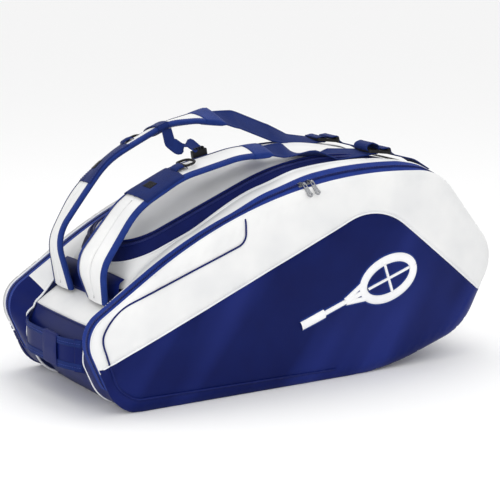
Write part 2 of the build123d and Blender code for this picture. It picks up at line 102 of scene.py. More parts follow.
class Path:
    """A polyline read by its length."""

    def __init__(self, points):
        self.points = np.asarray(points, float)
        steps = np.linalg.norm(np.diff(self.points, axis=0), axis=1)
        self.reach = np.concatenate([[0], np.cumsum(steps)])
        self.length = self.reach[-1]

    def at(self, s):
        s = np.clip(np.asarray(s, float), 0, self.length)
        return np.stack([np.interp(s, self.reach, c) for c in self.points.T], -1)

    def nearest(self, point):
        """Length along the path of its point nearest to this one."""
        dense = np.linspace(0, self.length, 1200)
        return dense[np.argmin(np.linalg.norm(self.at(dense) - np.array(point, float), axis=1))]


def smooth(x, low, high):
    """0 up to low, 1 from high on, and a smooth step between them."""
    t = np.clip((np.asarray(x, float) - low) / (high - low), 0, 1)
    return t * t * (3 - 2 * t)


def eased(x, keys):
    """A smooth value through a few (place, value) keys."""
    x = np.asarray(x, float)
    value = np.full(x.shape, float(keys[0][1]))
    for (x0, v0), (x1, v1) in zip(keys, keys[1:]):
        value = value + (v1 - v0) * smooth(x, x0, x1)
    return value


def normed(vectors):
    """The same vectors at unit length."""
    return vectors / np.linalg.norm(vectors, axis=-1, keepdims=True)


def left_of(line):
    """Unit normals on the left of a flat line."""
    d = normed(np.gradient(line, axis=0))
    return np.stack([-d[:, 1], d[:, 0]], -1)


outline = Path(rounded(OUTLINE, OUTLINE_RADII, closed=True))
# Lengths s count from this floor point up the handle end, over the top and down the head end.
START = outline.nearest((-200, 0))


def outline_at(s):
    """Point and outward normal of the side outline, s millimetres from its start on the floor."""
    s = np.mod(START + np.asarray(s, float), outline.length)
    p = outline.at(s)
    before = outline.at(np.mod(s - 2.0, outline.length))
    after = outline.at(np.mod(s + 2.0, outline.length))
    d = normed(after - before)
    return p, np.stack([-d[..., 1], d[..., 0]], -1)


def outline_s(point):
    return np.mod(outline.nearest(point) - START, outline.length)


# ------------------------------------------------------------------ mesh helpers
def link(name, mesh):
    obj = bpy.data.objects.new(name, mesh)
    bpy.context.scene.collection.objects.link(obj)
    return obj


def smooth_mesh(name, verts, faces, uv=None):
    """A smooth-shaded object; uv, if given, holds one map point in metres for each vertex."""
    mesh = bpy.data.meshes.new(name)
    mesh.from_pydata(verts, [], faces)
    if uv is not None:
        layer = mesh.uv_layers.new(name="UVMap")
        loop_verts = np.zeros(len(mesh.loops), np.int32)
        mesh.loops.foreach_get("vertex_index", loop_verts)
        layer.data.foreach_set("uv", uv[loop_verts].astype(np.float32).ravel())
    mesh.polygons.foreach_set("use_smooth", [True] * len(mesh.polygons))
    return link(name, mesh)


def grid_mesh(name, points, uv=None, close_u=False, flip=False):
    """A quad sheet over points[u, v], in millimetres, with a UV map in metres."""
    points = np.asarray(points, float)
    nu, nv = points.shape[:2]
    verts = (points.reshape(-1, 3) * MM).tolist()
    faces = []
    rows = nu if close_u else nu - 1
    for i in range(rows):
        for j in range(nv - 1):
            a, b = i * nv + j, ((i + 1) % nu) * nv + j
            quad = (a, b, b + 1, a + 1)
            faces.append(quad[::-1] if flip else quad)
    if uv is None:
        along = np.zeros((nu, nv))
        across = np.zeros((nu, nv))
        along[1:] = np.cumsum(np.linalg.norm(np.diff(points, axis=0), axis=2), axis=0)
        across[:, 1:] = np.cumsum(np.linalg.norm(np.diff(points, axis=1), axis=2), axis=1)
        uv = np.stack([along, across], -1)
    return smooth_mesh(name, verts, faces, np.asarray(uv, float).reshape(-1, 2) * MM)


def loft(name, rows, **options):
    """A sheet through lines of equal count that run along it, given from one edge to the other."""
    return grid_mesh(name, np.array(rows).transpose(1, 0, 2), **options)


def at_y(flat, y):
    """Flat points in X and Z, set at one Y."""
    return np.stack([flat[:, 0], np.full(len(flat), float(y)), flat[:, 1]], -1)


def cloth_wall(name, rim, count, depth):
    """A closed rim filled by rings towards its middle; depth gives the Y of each ring."""
    shares = np.linspace(0, 1, count)
    wall = loft(name, [at_y(rim * (1 - k) + rim.mean(0) * k, depth(k)) for k in shares], close_u=True)
    clean(wall)
    return wall


def clean(obj, distance=0.02):
    """Merge doubled points and drop the empty faces that they leave."""
    bm = bmesh.new()
    bm.from_mesh(obj.data)
    bmesh.ops.remove_doubles(bm, verts=bm.verts, dist=distance * MM)
    bmesh.ops.dissolve_degenerate(bm, edges=bm.edges, dist=distance * MM)
    bm.to_mesh(obj.data)
    bm.free()


def close_ends(obj, turn_out=False):
    """Fill the open ends of a sleeve; turn_out points all its faces outward."""
    bm = bmesh.new()
    bm.from_mesh(obj.data)
    bmesh.ops.holes_fill(bm, edges=[e for e in bm.edges if e.is_boundary])
    if turn_out:
        bmesh.ops.recalc_face_normals(bm, faces=bm.faces)
    bm.to_mesh(obj.data)
    bm.free()


def thicken(obj, thickness):
    """Give a sheet its real thickness, on the side that its normals point away from."""
    solid = obj.modifiers.new("thickness", "SOLIDIFY")
    solid.thickness = thickness * MM
    solid.offset = -1
    solid.use_even_offset = False
    graph = bpy.context.evaluated_depsgraph_get()
    mesh = bpy.data.meshes.new_from_object(obj.evaluated_get(graph))
    obj.modifiers.clear()
    obj.data = mesh


def finish_piece(obj, material, body, replaces=()):
    """Material, body, slot and the CAD nodes that a piece stands for."""
    obj.data.materials.clear()
    obj.data.materials.append(material)
    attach(obj, body)
    if replaces:
        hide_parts(*replaces)
    return obj


def tube(name, line, radius, sides=8, closed=False, profile=None, up=(0, 0, 1)):
    """A round cord along a line of points; profile(k) scales its radius ring by ring."""
    line = np.asarray(line, float)
    count = len(line)
    if closed:
        ahead = np.roll(line, -1, 0) - np.roll(line, 1, 0)
    else:
        ahead = np.gradient(line, axis=0)
    ahead = ahead / np.maximum(np.linalg.norm(ahead, axis=1, keepdims=True), 1e-9)
    side = np.cross(ahead, np.array(up, float))
    side = side / np.maximum(np.linalg.norm(side, axis=1, keepdims=True), 1e-9)
    lift = np.cross(side, ahead)
    turn = np.linspace(0, 2 * math.pi, sides, endpoint=False)
    scale = np.ones(count) if profile is None else np.asarray(profile, float)
    ring = (side[:, None] * np.cos(turn)[None, :, None] + lift[:, None] * np.sin(turn)[None, :, None])
    points = line[:, None] + ring * radius * scale[:, None, None]
    verts = points.reshape(-1, 3) * MM
    faces = []
    for i in range(count if closed else count - 1):
        for j in range(sides):
            k, n = (i + 1) % count, (j + 1) % sides
            faces.append((i * sides + j, i * sides + n, k * sides + n, k * sides + j))
    if not closed:
        faces.append(tuple(range(sides)))
        faces.append(tuple((count - 1) * sides + j for j in reversed(range(sides))))
    return smooth_mesh(name, verts.tolist(), faces)


THREAD_RADIUS = 0.45
THREAD_LIFT = 0.25        # a stitch's middle stands this far off the surface
THREAD_SINK = -0.2        # and its ends go this far in
THREAD_SIDES = 6


def stitches(name, line, normals, length=3.0, gap=1.6):
    """A row of sewn stitches: short rounded threads lying along a line on a surface."""
    path = Path(line)
    normal_path = [np.interp(path.reach, path.reach, c) for c in np.asarray(normals, float).T]
    verts, faces = [], []
    s = gap
    while s + length < path.length:
        ends = path.at([s, s + length * 0.5, s + length])
        normal = np.array([np.interp(s, path.reach, c) for c in normal_path])
        normal /= np.linalg.norm(normal)
        ahead = ends[2] - ends[0]
        ahead /= np.linalg.norm(ahead)
        side = np.cross(normal, ahead)
        base = len(verts)
        for centre, size, rise in zip(ends, (0.35, 1.0, 0.35), (THREAD_SINK, THREAD_LIFT, THREAD_SINK)):
            for k in range(THREAD_SIDES):
                a = k * math.tau / THREAD_SIDES
                wide = side * math.cos(a) * THREAD_RADIUS * size * 1.25
                high = normal * (math.sin(a) * THREAD_RADIUS * size + rise)
                verts.append((centre + wide + high) * MM)
        for r in range(2):
            for k in range(THREAD_SIDES):
                a = base + r * THREAD_SIDES + k
                b = base + r * THREAD_SIDES + (k + 1) % THREAD_SIDES
                faces.append((a, b, b + THREAD_SIDES, a + THREAD_SIDES))
        faces.append(tuple(base + k for k in reversed(range(THREAD_SIDES))))
        faces.append(tuple(base + 2 * THREAD_SIDES + k for k in range(THREAD_SIDES)))
        s += length + gap
    return smooth_mesh(name, [tuple(v) for v in verts], faces)


# ------------------------------------------------------------------ materials
def new_material(name):
    material = bpy.data.materials.new(name)
    material.use_nodes = True
    nodes = material.node_tree.nodes
    shader = nodes["Principled BSDF"]
    return material, nodes, material.node_tree.links, shader


def coordinates(nodes):
    """Object coordinates: metres in the CAD frame."""
    return nodes.new("ShaderNodeTexCoord").outputs["Object"]


def noise(nodes, links, vector, scale, detail=3.0, roughness=0.55):
    texture = nodes.new("ShaderNodeTexNoise")
    texture.inputs["Scale"].default_value = scale
    texture.inputs["Detail"].default_value = detail
    texture.inputs["Roughness"].default_value = roughness
    links.new(vector, texture.inputs["Vector"])
    return texture.outputs["Fac"]


def ramp(nodes, links, factor, stops):
    colour = nodes.new("ShaderNodeValToRGB")
    while len(colour.color_ramp.elements) < len(stops):
        colour.color_ramp.elements.new(0.5)
    for element, (place, value) in zip(colour.color_ramp.elements, stops):
        element.position = place
        element.color = (*value, 1) if len(value) == 3 else value
    links.new(factor, colour.inputs["Fac"])
    return colour.outputs["Color"]


def bump(nodes, links, shader, heights):
    """Chain of (height socket, strength, distance in metres) into the shader's normal."""
    last = None
    for height, strength, distance in heights:
        node = nodes.new("ShaderNodeBump")
        node.inputs["Strength"].default_value = strength
        node.inputs["Distance"].default_value = distance
        links.new(height, node.inputs["Height"])
        if last is not None:
            links.new(last, node.inputs["Normal"])
        last = node.outputs["Normal"]
    links.new(last, shader.inputs["Normal"])


def maths(nodes, links, operation, first, second, third=None):
    """A Math node of two or three values; each is a socket or a number."""
    node = nodes.new("ShaderNodeMath")
    node.operation = operation
    for socket, value in zip(node.inputs, (first, second, third)):
        if isinstance(value, (int, float)):
            socket.default_value = value
        elif value is not None:
            links.new(value, socket)
    return node.outputs["Value"]


def value_range(nodes, links, factor, low, high):
    node = nodes.new("ShaderNodeMapRange")
    node.inputs["To Min"].default_value = low
    node.inputs["To Max"].default_value = high
    links.new(factor, node.inputs["Value"])
    return node.outputs["Result"]


def coated_fabric(name, dark, light, rough=(0.35, 0.5), grain=0.35, specular=0.5, painted_sheen=0.0):
    """Grained coated fabric. Its last argument paints soft slanted lighter streaks into the colour: painted
    sheen, the highlights of a stretched glossy sheet.
    """
    material, nodes, links, shader = new_material(name)
    place = coordinates(nodes)
    broad = noise(nodes, links, place, 14, 2)
    pores = nodes.new("ShaderNodeTexVoronoi")
    pores.inputs["Scale"].default_value = 900
    pores.feature = "DISTANCE_TO_EDGE"
    links.new(place, pores.inputs["Vector"])
    fine = noise(nodes, links, place, 1500, 2)
    colour = ramp(nodes, links, broad, [(0.3, dark), (0.7, light)])
    # Painted sheen: lighter slanted streaks mixed into the base colour, standing in for highlights.
    if painted_sheen:
        slanted = nodes.new("ShaderNodeMapping")
        slanted.vector_type = "TEXTURE"
        slanted.inputs["Rotation"].default_value = (0, math.radians(30), 0)
        slanted.inputs["Scale"].default_value = (1, 6.6, 5.5)
        links.new(place, slanted.inputs["Vector"])
        painted_sheen_noise = noise(nodes, links, slanted.outputs["Vector"], 13, 1.5, 0.4)
        painted_sheen_mask = ramp(nodes, links, painted_sheen_noise, [(0.47, (0, 0, 0)), (0.72, (1, 1, 1))])
        mix = nodes.new("ShaderNodeMix")
        mix.data_type = "RGBA"
        mix.inputs["B"].default_value = (*[min(1, c * 2.4 + 0.012) for c in light], 1)
        links.new(maths(nodes, links, "MULTIPLY", painted_sheen_mask, painted_sheen), mix.inputs["Factor"])
        links.new(colour, mix.inputs["A"])
        colour = mix.outputs["Result"]
    links.new(colour, shader.inputs["Base Color"])
    links.new(value_range(nodes, links, broad, *rough), shader.inputs["Roughness"])
    shader.inputs["Specular IOR Level"].default_value = specular
    bump(nodes, links, shader, [(pores.outputs["Distance"], grain, 0.0002), (fine, grain * 0.6, 0.0001),
                                (broad, 0.25, 0.0015)])
    return material


def woven(name, dark, light, pitch=0.0011, rib=None):
    """Woven tape or webbing, its yarns laid out by the mesh's own UV map in metres.

    pitch is the repeat along the strip and rib, if it differs, the one across it, in metres.
    """
    material, nodes, links, shader = new_material(name)
    place = nodes.new("ShaderNodeUVMap")
    place.uv_map = "UVMap"
    waves = []
    for axis, size in (("X", pitch), ("Y", (rib or pitch))):
        wave = nodes.new("ShaderNodeTexWave")
        wave.bands_direction = axis
        # A wave texture of scale 1 repeats every pi / 10.
        wave.inputs["Scale"].default_value = math.pi / 10 / size
        wave.inputs["Distortion"].default_value = 0.6
        wave.inputs["Detail Scale"].default_value = 2.0
        links.new(place.outputs["UV"], wave.inputs["Vector"])
        waves.append(wave.outputs["Fac"])
    weave = maths(nodes, links, "MULTIPLY", *waves)
    object_place = coordinates(nodes)
    broad = noise(nodes, links, object_place, 45, 2)
    worn = value_range(nodes, links, broad, 0.0, 0.4)
    tone = maths(nodes, links, "MULTIPLY_ADD", weave, 0.55, worn)
    colour = ramp(nodes, links, tone, [(0.1, dark), (0.75, light)])
    links.new(colour, shader.inputs["Base Color"])
    shader.inputs["Roughness"].default_value = 0.75
    shader.inputs["Sheen Weight"].default_value = 0.04
    shader.inputs["Sheen Roughness"].default_value = 0.4
    shader.inputs["Specular IOR Level"].default_value = 0.15
    bump(nodes, links, shader, [(weave, 0.6, 0.0003)])
    return material


def moulded_plastic(name, colour, rough=0.38):
    material, nodes, links, shader = new_material(name)
    place = coordinates(nodes)
    fine = noise(nodes, links, place, 1800, 2)
    broad = noise(nodes, links, place, 60, 2)
    links.new(ramp(nodes, links, broad, [(0.3, colour), (0.8, [c * 1.5 + 0.004 for c in colour])]),
              shader.inputs["Base Color"])
    links.new(value_range(nodes, links, broad, rough - 0.06, rough + 0.1), shader.inputs["Roughness"])
    shader.inputs["Specular IOR Level"].default_value = 0.2
    bump(nodes, links, shader, [(fine, 0.25, 0.0001)])
    return material


def metal(name, colour, rough=0.16):
    material, nodes, links, shader = new_material(name)
    place = coordinates(nodes)
    broad = noise(nodes, links, place, 220, 3)
    links.new(ramp(nodes, links, broad, [(0.2, [c * 0.8 for c in colour]), (0.8, colour)]),
              shader.inputs["Base Color"])
    links.new(value_range(nodes, links, broad, rough * 0.7, rough * 1.6), shader.inputs["Roughness"])
    shader.inputs["Metallic"].default_value = 1.0
    bump(nodes, links, shader, [(broad, 0.08, 0.0002)])
    return material


def mesh_cloth(name, dark, light):
    """Open spacer mesh: round holes in a pale net."""
    material, nodes, links, shader = new_material(name)
    place = coordinates(nodes)
    cells = nodes.new("ShaderNodeTexVoronoi")
    cells.inputs["Scale"].default_value = 420
    links.new(place, cells.inputs["Vector"])
    links.new(ramp(nodes, links, cells.outputs["Distance"], [(0.25, dark), (0.55, light)]),
              shader.inputs["Base Color"])
    shader.inputs["Roughness"].default_value = 0.85
    shader.inputs["Sheen Weight"].default_value = 0.2
    bump(nodes, links, shader, [(cells.outputs["Distance"], 0.8, 0.0008)])
    return material


WHITE = coated_fabric("white_coated", (0.69, 0.695, 0.7), (0.78, 0.78, 0.775), rough=(0.42, 0.58),
                      grain=0.3)
# Navy of the side faces, with painted sheen streaks in its colour.
NAVY = coated_fabric("navy_glossy", (0.0013, 0.0052, 0.066), (0.0021, 0.0078, 0.083), rough=(0.3, 0.42),
                     grain=0.22, specular=0.11, painted_sheen=0.55)
NAVY_DULL = coated_fabric("navy_dull", (0.0022, 0.007, 0.08), (0.0035, 0.0105, 0.1), rough=(0.4, 0.52),
                          grain=0.3, specular=0.1)
TAPE_BLUE = woven("zip_tape_blue", (0.006, 0.021, 0.15), (0.014, 0.046, 0.31), pitch=0.0011)
TAPE_DARK = woven("zip_tape_dark", (0.0012, 0.0045, 0.055), (0.0028, 0.0105, 0.11), pitch=0.0011)
WEBBING = woven("webbing_blue", (0.0035, 0.0125, 0.085), (0.010, 0.030, 0.175), pitch=0.0016, rib=0.0022)
BINDING = woven("binding_blue", (0.006, 0.021, 0.135), (0.017, 0.048, 0.265), pitch=0.0009)
LINING = woven("lining_cloth", (0.006, 0.010, 0.05), (0.016, 0.024, 0.09), pitch=0.0014)
MESH_GREY = mesh_cloth("mesh_grey", (0.05, 0.055, 0.07), (0.32, 0.33, 0.36))
PIPE_NAVY = coated_fabric("piping_navy", (0.003, 0.008, 0.08), (0.006, 0.014, 0.12), rough=(0.35, 0.5),
                          specular=0.15)
PIPE_WHITE = coated_fabric("piping_white", (0.72, 0.73, 0.76), (0.84, 0.85, 0.86), rough=(0.35, 0.5))
BADGE_WHITE = coated_fabric("badge_white", (0.78, 0.785, 0.8), (0.87, 0.87, 0.875), rough=(0.3, 0.42),
                            grain=0.12)
COIL = moulded_plastic("zip_coil", (0.006, 0.012, 0.09), 0.35)
# Painted shade: grey for the cord laid in each strap's centre crease.
CREASE_SHADE = coated_fabric("crease_painted_shade", (0.17, 0.17, 0.18), (0.26, 0.26, 0.27), rough=(0.6, 0.7))
PATCH = woven("patch_navy", (0.003, 0.010, 0.075), (0.008, 0.026, 0.16), pitch=0.0013)
LABEL = woven("label_dark", (0.004, 0.004, 0.006), (0.014, 0.014, 0.02), pitch=0.0006)
THREAD_WHITE = coated_fabric("thread_white", (0.62, 0.63, 0.66), (0.78, 0.78, 0.8), rough=(0.5, 0.6))
THREAD_BLUE = coated_fabric("thread_blue", (0.01, 0.025, 0.2), (0.03, 0.06, 0.34), rough=(0.5, 0.6))
BLACK = moulded_plastic("black_plastic", (0.005, 0.005, 0.006), 0.42)
CHROME = metal("polished_zinc", (0.36, 0.37, 0.39), rough=0.24)
THREADS = {"white": THREAD_WHITE, "blue": THREAD_BLUE}
PIPES = {"white": PIPE_WHITE, "navy": PIPE_NAVY}


# ------------------------------------------------------------------ side faces
# Corners in X and Z of the navy panel's top line, and of the cord round the white field.
PANEL_CORNERS = [(-420, 47), (141, 279), (420, 53)]
PANEL_RADIUS = 104
EDGE_PIPING = [(-107, 276), (-107, 240), (-330, 160), (-356, 122), (-330, 40), (-300, 20), (60, 15)]
EDGE_RADII = [20, 90, 30, 45, 40]
PIPE = 1.5                # radii of the piping on the face, and round its rim
RIM_CORD = 1.6


def segment_distance(points, line):
    """Distance of each point to a polyline."""
    a, b = line[:-1], line[1:]
    d = b - a
    size = np.maximum((d * d).sum(1), 1e-12)
    best = np.full(len(points), 1e9)
    for i in range(len(a)):
        t = np.clip(((points - a[i]) @ d[i]) / size[i], 0, 1)
        gap = np.linalg.norm(points - a[i] - t[:, None] * d[i], axis=1)
        best = np.minimum(best, gap)
    return best


def inside(points, rim):
    """Even-odd test of points against a closed polygon."""
    x, z = points[:, 0], points[:, 1]
    hit = np.zeros(len(points), bool)
    for (x0, z0), (x1, z1) in zip(rim, np.roll(rim, -1, 0)):
        crosses = (z0 > z) != (z1 > z)
        where = (x1 - x0) * (z - z0) / (z1 - z0 if z1 != z0 else 1e-9) + x0
        hit ^= crosses & (x < where)
    return hit


def even(line, step):
    """The same line with evenly spaced points, about a step apart."""
    path = Path(line)
    return path.at(np.linspace(0, path.length, max(2, int(round(path.length / step))) + 1))


face_rim = even(outline.points, 5.0)
panel_line = even(rounded(PANEL_CORNERS, [PANEL_RADIUS], step=3), 5.0)
edge_line = even(rounded(EDGE_PIPING, EDGE_RADII, step=3), 4.0)


def groove(distance, width):
    """A soft notch: 1 at no distance, fading over the width."""
    return np.exp(-(distance / width) ** 2)


RIPPLE = 0.45             # soft folds of the stretched cover
PUCKER = 0.22             # fine gathers beside its seams


def face_height(points):
    """How far the face stands out from its rim, in millimetres."""
    points = np.asarray(points, float).reshape(-1, 2)
    rim = segment_distance(points, face_rim)
    t = np.clip(rim / FACE_ROUND, 0, 1)
    height = FACE_DEPTH * np.sqrt(np.clip(1 - (1 - t) ** 2, 0, 1))
    height = height + FACE_DOME * smooth(rim, 8, 120)
    fade = smooth(rim, 2, 10)
    height = height - 1.6 * groove(segment_distance(points, panel_line), 4.5) * fade
    height = height - 1.5 * groove(segment_distance(points, edge_line), 4.0) * fade
    x, z = points[:, 0], points[:, 1]
    ripple = np.sin(x * 0.021 + z * 0.035 + 1.4 * np.sin(z * 0.017))
    ripple = ripple * np.sin(x * 0.013 - z * 0.026 + 0.8)
    ripple = ripple + 0.4 * np.sin(x * 0.05 + z * 0.072)
    pucker = np.sin(0.33 * x + 0.12 * z) * groove(segment_distance(points, panel_line) - 6, 5.0)
    pucker = pucker + np.sin(0.4 * x - 0.3 * z) * groove(rim - FACE_ROUND, 6.0)
    return height + RIPPLE * ripple * smooth(rim, 6, 50) + PUCKER * pucker * fade


def face_point(points, side, lift=0.0):
    """Points of the face in space, lifted off it by so much."""
    points = np.asarray(points, float).reshape(-1, 2)
    depth = FACE_Y + face_height(points) + lift
    return np.stack([points[:, 0], side * depth, points[:, 1]], -1)


def face_normal(points, side):
    points = np.asarray(points, float).reshape(-1, 2)
    gap = 1.0
    dx = face_height(points + (gap, 0)) - face_height(points - (gap, 0))
    dz = face_height(points + (0, gap)) - face_height(points - (0, gap))
    return normed(np.stack([-dx / 2 / gap, np.full(len(points), float(side)), -dz / 2 / gap], -1))


SKIN_GAP = 1.4
SKIN_SPACING = 7.0


def face_skin(name, rim, side):
    """A skin over one part of the face: fine beside its border and its seams, even elsewhere."""
    rim = np.asarray(rim, float)
    path = Path(np.vstack([rim, rim[:1]]))
    extra = []
    for depth in (2.0, 4.0, 6.5, 9.0, 12.0, 16.0):
        for s in np.arange(0, path.length, 5.0):
            d = normed(path.at(min(s + 1, path.length)) - path.at(max(s - 1, 0)))
            extra.append(path.at(s) + depth * np.array([d[1], -d[0]]))
    for shift in (-8, -5, -3, -1.5, 0, 1.5, 3, 5, 8):
        extra.extend(edge_line + shift * left_of(edge_line))
    low, high = rim.min(0), rim.max(0)
    for i, z in enumerate(np.arange(low[1], high[1], SKIN_SPACING * 0.87)):
        for x in np.arange(low[0] + (i % 2) * SKIN_SPACING / 2, high[0], SKIN_SPACING):
            extra.append(np.array([x, z]))
    extra = np.array(extra)
    extra = extra[inside(extra, rim)]
    extra = extra[segment_distance(extra, path.points) > 0.5]
    # One point for each small square, which leaves few needle-thin triangles.
    order = {}
    for p in extra:
        order.setdefault((round(p[0] / SKIN_GAP), round(p[1] / SKIN_GAP)), p)
    extra = np.array(list(order.values()))
    coords = [Vector(p) for p in np.vstack([rim, extra])]
    result = geometry.delaunay_2d_cdt(coords, [], [list(range(len(rim)))], 1, 1e-5)
    flat = np.array([tuple(v) for v in result[0]])
    space = face_point(flat, side)
    depth = segment_distance(flat, face_rim)
    slope = np.stack([segment_distance(flat + step, face_rim) - segment_distance(flat - step, face_rim)
                      for step in (np.array([0.5, 0]), np.array([0, 0.5]))], -1)
    slope = slope / np.maximum(np.linalg.norm(slope, axis=1, keepdims=True), 1e-6)
    swell = FACE_SWELL * smooth(depth, 0, 2.0) * (1 - smooth(depth, 2.0, FACE_ROUND))
    space[:, 0] -= slope[:, 0] * swell
    space[:, 2] = np.maximum(space[:, 2] - slope[:, 1] * swell, 0)
    faces = [tuple(f) if side == NEAR else tuple(f)[::-1] for f in result[2]]
    skin = smooth_mesh(name, (space * MM).tolist(), faces, flat * MM)
    skin.data.normals_split_custom_set_from_vertices(face_normal(flat, side).tolist())
    return skin


def cut_rim(above):
    """Closed border of the part of the face above or below the panel line."""
    rim = face_rim[:-1]
    higher = rim[:, 1] > np.interp(rim[:, 0], panel_line[:, 0], panel_line[:, 1])
    flags = higher if above else ~higher
    first = next(i for i in range(len(rim)) if flags[i] and not flags[i - 1])
    part = np.roll(rim, -first, 0)[: flags.sum()]
    line = panel_line[inside(panel_line, rim)]
    starts_near = np.linalg.norm(part[-1] - line[0]) < np.linalg.norm(part[-1] - line[-1])
    towards = line if starts_near else line[::-1]
    trimmed = towards[(np.linalg.norm(towards - part[-1], axis=1) > 2.0)
                      & (np.linalg.norm(towards - part[0], axis=1) > 2.0)]
    return np.vstack([part, trimmed])


white_rim = cut_rim(True)
navy_rim = cut_rim(False)


panel_inside = panel_line[inside(panel_line, face_rim[:-1])]


def piping_piece(name, flat_line, side, radius, lift):
    """A cord sewn along a line of the face, its middle lifted off it by so much."""
    line = face_point(flat_line, side, lift)
    return tube(name, line, radius, sides=10, up=(0, side, 0))


# ------------------------------------------------------------------ gusset and zipper of a side compartment
SPLIT_Z = 37.0            # the zippers end and the bottom gusset begins at this height
# Keys of X against height: the inner seam and the tape stand this far above the face's outline.
rise_keys = [(-300, -3), (-180, -4), (-40, 11), (30, 17), (170, 14), (240, 9), (300, 4)]
tape_keys = [(-230, 0), (-120, 3), (-40, 10), (40, 15), (190, 14), (260, 7), (310, 4)]

# Places on the handle end's outline, and how far inside it the inner seam runs there.
END_SEAM = [((-352, 66), 1), ((-366, 98), -12), ((-369, 122), -25), ((-350, 146), -25), ((-300, 180), -13),
            ((-240, 218), -4)]
end_keys = [(outline_s(place), value) for place, value in END_SEAM]


def seam_rise(p, s):
    """Height of the compartment's inner seam above the face's outline."""
    top = smooth(p[..., 1], 150, 220)
    s = np.mod(s, outline.length)
    end = eased(s, [(0, 0), *end_keys, (end_keys[-1][0] + 60, 0)])
    return eased(p[..., 0], rise_keys) * top * smooth(p[..., 0], -240, -150) + end


def band_point(s, y, side):
    """Point of the gusset and tapes, across the band from the inner seam to the face."""
    p, n = outline_at(s)
    rise = seam_rise(p, s)
    low_end = smooth(p[..., 1], 20, 60)
    tape = np.maximum(eased(p[..., 0], tape_keys) * smooth(p[..., 1], 150, 220), 3.0 * low_end)
    slope = np.clip((FACE_Y - y) / (FACE_Y - TAPE_Y), 0, 1)
    flat_part = np.clip((TAPE_Y - y) / (TAPE_Y - SEAM_Y), 0, 1)
    lift = tape * slope ** 0.85 * (1 - flat_part) + rise * flat_part
    half_strip = (TAPE_Y - SEAM_Y) / 2
    crown = 2.0 * np.clip(1 - ((y - SEAM_Y - half_strip) / half_strip) ** 2, 0, 1) * low_end
    flat = p + n * (lift + crown)[..., None]
    depth = side * np.broadcast_to(y, flat.shape[:-1])
    return np.stack([flat[..., 0], depth, np.maximum(flat[..., 1], 0)], -1)


def band_line(s, y, side):
    """A line along the band at one distance from the middle of the bag."""
    return band_point(s, np.full(len(s), y), side)


BAND_STEP = 6.0


def band_sheet(name, s_low, s_high, ys, side):
    """A strip of the band between two lengths along the outline, through the given distances y."""
    s = np.linspace(s_low, s_high, max(3, int((s_high - s_low) / BAND_STEP)))
    grid_s, grid_y = np.meshgrid(s, np.asarray(ys, float), indexing="ij")
    return grid_mesh(name, band_point(grid_s, grid_y, side), flip=(side == FAR))


def crossing_s(start_guess, end_guess, z):
    """Outline length where its height passes z, between two guesses."""
    s = np.linspace(start_guess, end_guess, 400)
    return s[np.argmin(abs(outline_at(s)[0][:, 1] - z))]


TOTAL = outline.length
s_nose_low = outline_s((-379 + 12, 110))
s_bottom_handle = crossing_s(0, s_nose_low, SPLIT_Z)
s_head_mid = outline_s((372, 171))
s_bottom_head = crossing_s(s_head_mid, TOTAL - 200, SPLIT_Z)
s_white_start = outline_s((-330, 150))
s_white_end = outline_s((287, 305))

# Badge, in a plane of its own: u along the racket from the foot of its head, v across it.
BADGE_PLACE = (112, 138)
BADGE_TILT = math.radians(19)
HEAD_MIDDLE = 48.0
HEAD_RADII = (50.5, 30.5)
BAND_HALF, SHAFT_HALF, STRING_HALF, BADGE_BORDER = 7.5, 4.2, 2.4, 2.6


def badge_run(start, end, count):
    """A straight line of the badge from one (u, v) point to another."""
    return np.linspace(start, end, count)


def badge_band(name, line, half, height, side):
    """A band of the badge along a line, with its half width and its puffed height."""
    cos_t, sin_t = math.cos(BADGE_TILT), math.sin(BADGE_TILT)
    across = left_of(line)
    rows_ = []
    for w in (-1, -0.93, -0.8, -0.6, -0.35, 0, 0.35, 0.6, 0.8, 0.93, 1):
        u, v = (line + across * half * w).T
        flat = np.stack([BADGE_PLACE[0] + u * cos_t - v * sin_t, BADGE_PLACE[1] + u * sin_t + v * cos_t], -1)
        lift = height * np.sqrt(np.clip(1 - abs(w) ** 2.6, 0, 1)) - 0.6 * (abs(w) == 1)
        rows_.append(face_point(flat, side, lift))
    return loft(name, rows_)


turn = np.linspace(0, 2 * math.pi, 97)
ring_line = np.stack([HEAD_MIDDLE + HEAD_RADII[0] * np.cos(turn), HEAD_RADII[1] * np.sin(turn)], -1)
BADGE_BANDS = {
    "ring": (ring_line, BAND_HALF),
    "shaft": (badge_run((-6, 0), (-84, 0), 24), SHAFT_HALF),
    "throat_a": (badge_run((4, -14), (-40, -2), 16), SHAFT_HALF),
    "throat_b": (badge_run((4, 14), (-40, 2), 16), SHAFT_HALF),
    "grip": (badge_run((-82, 0), (-128, 0), 18), BAND_HALF),
    "string_a": (badge_run((6, 0), (90, 0), 30), STRING_HALF),
    "string_b": (badge_run((HEAD_MIDDLE, -26), (HEAD_MIDDLE, 26), 20), STRING_HALF),
}
TAPE_IN_YS = [TAPE_Y, 131, 133, 136, 139, 141.2]
TAPE_OUT_YS = [142.8, 145, 148, 151, FACE_Y]
TOOTH_STEP = 3.2

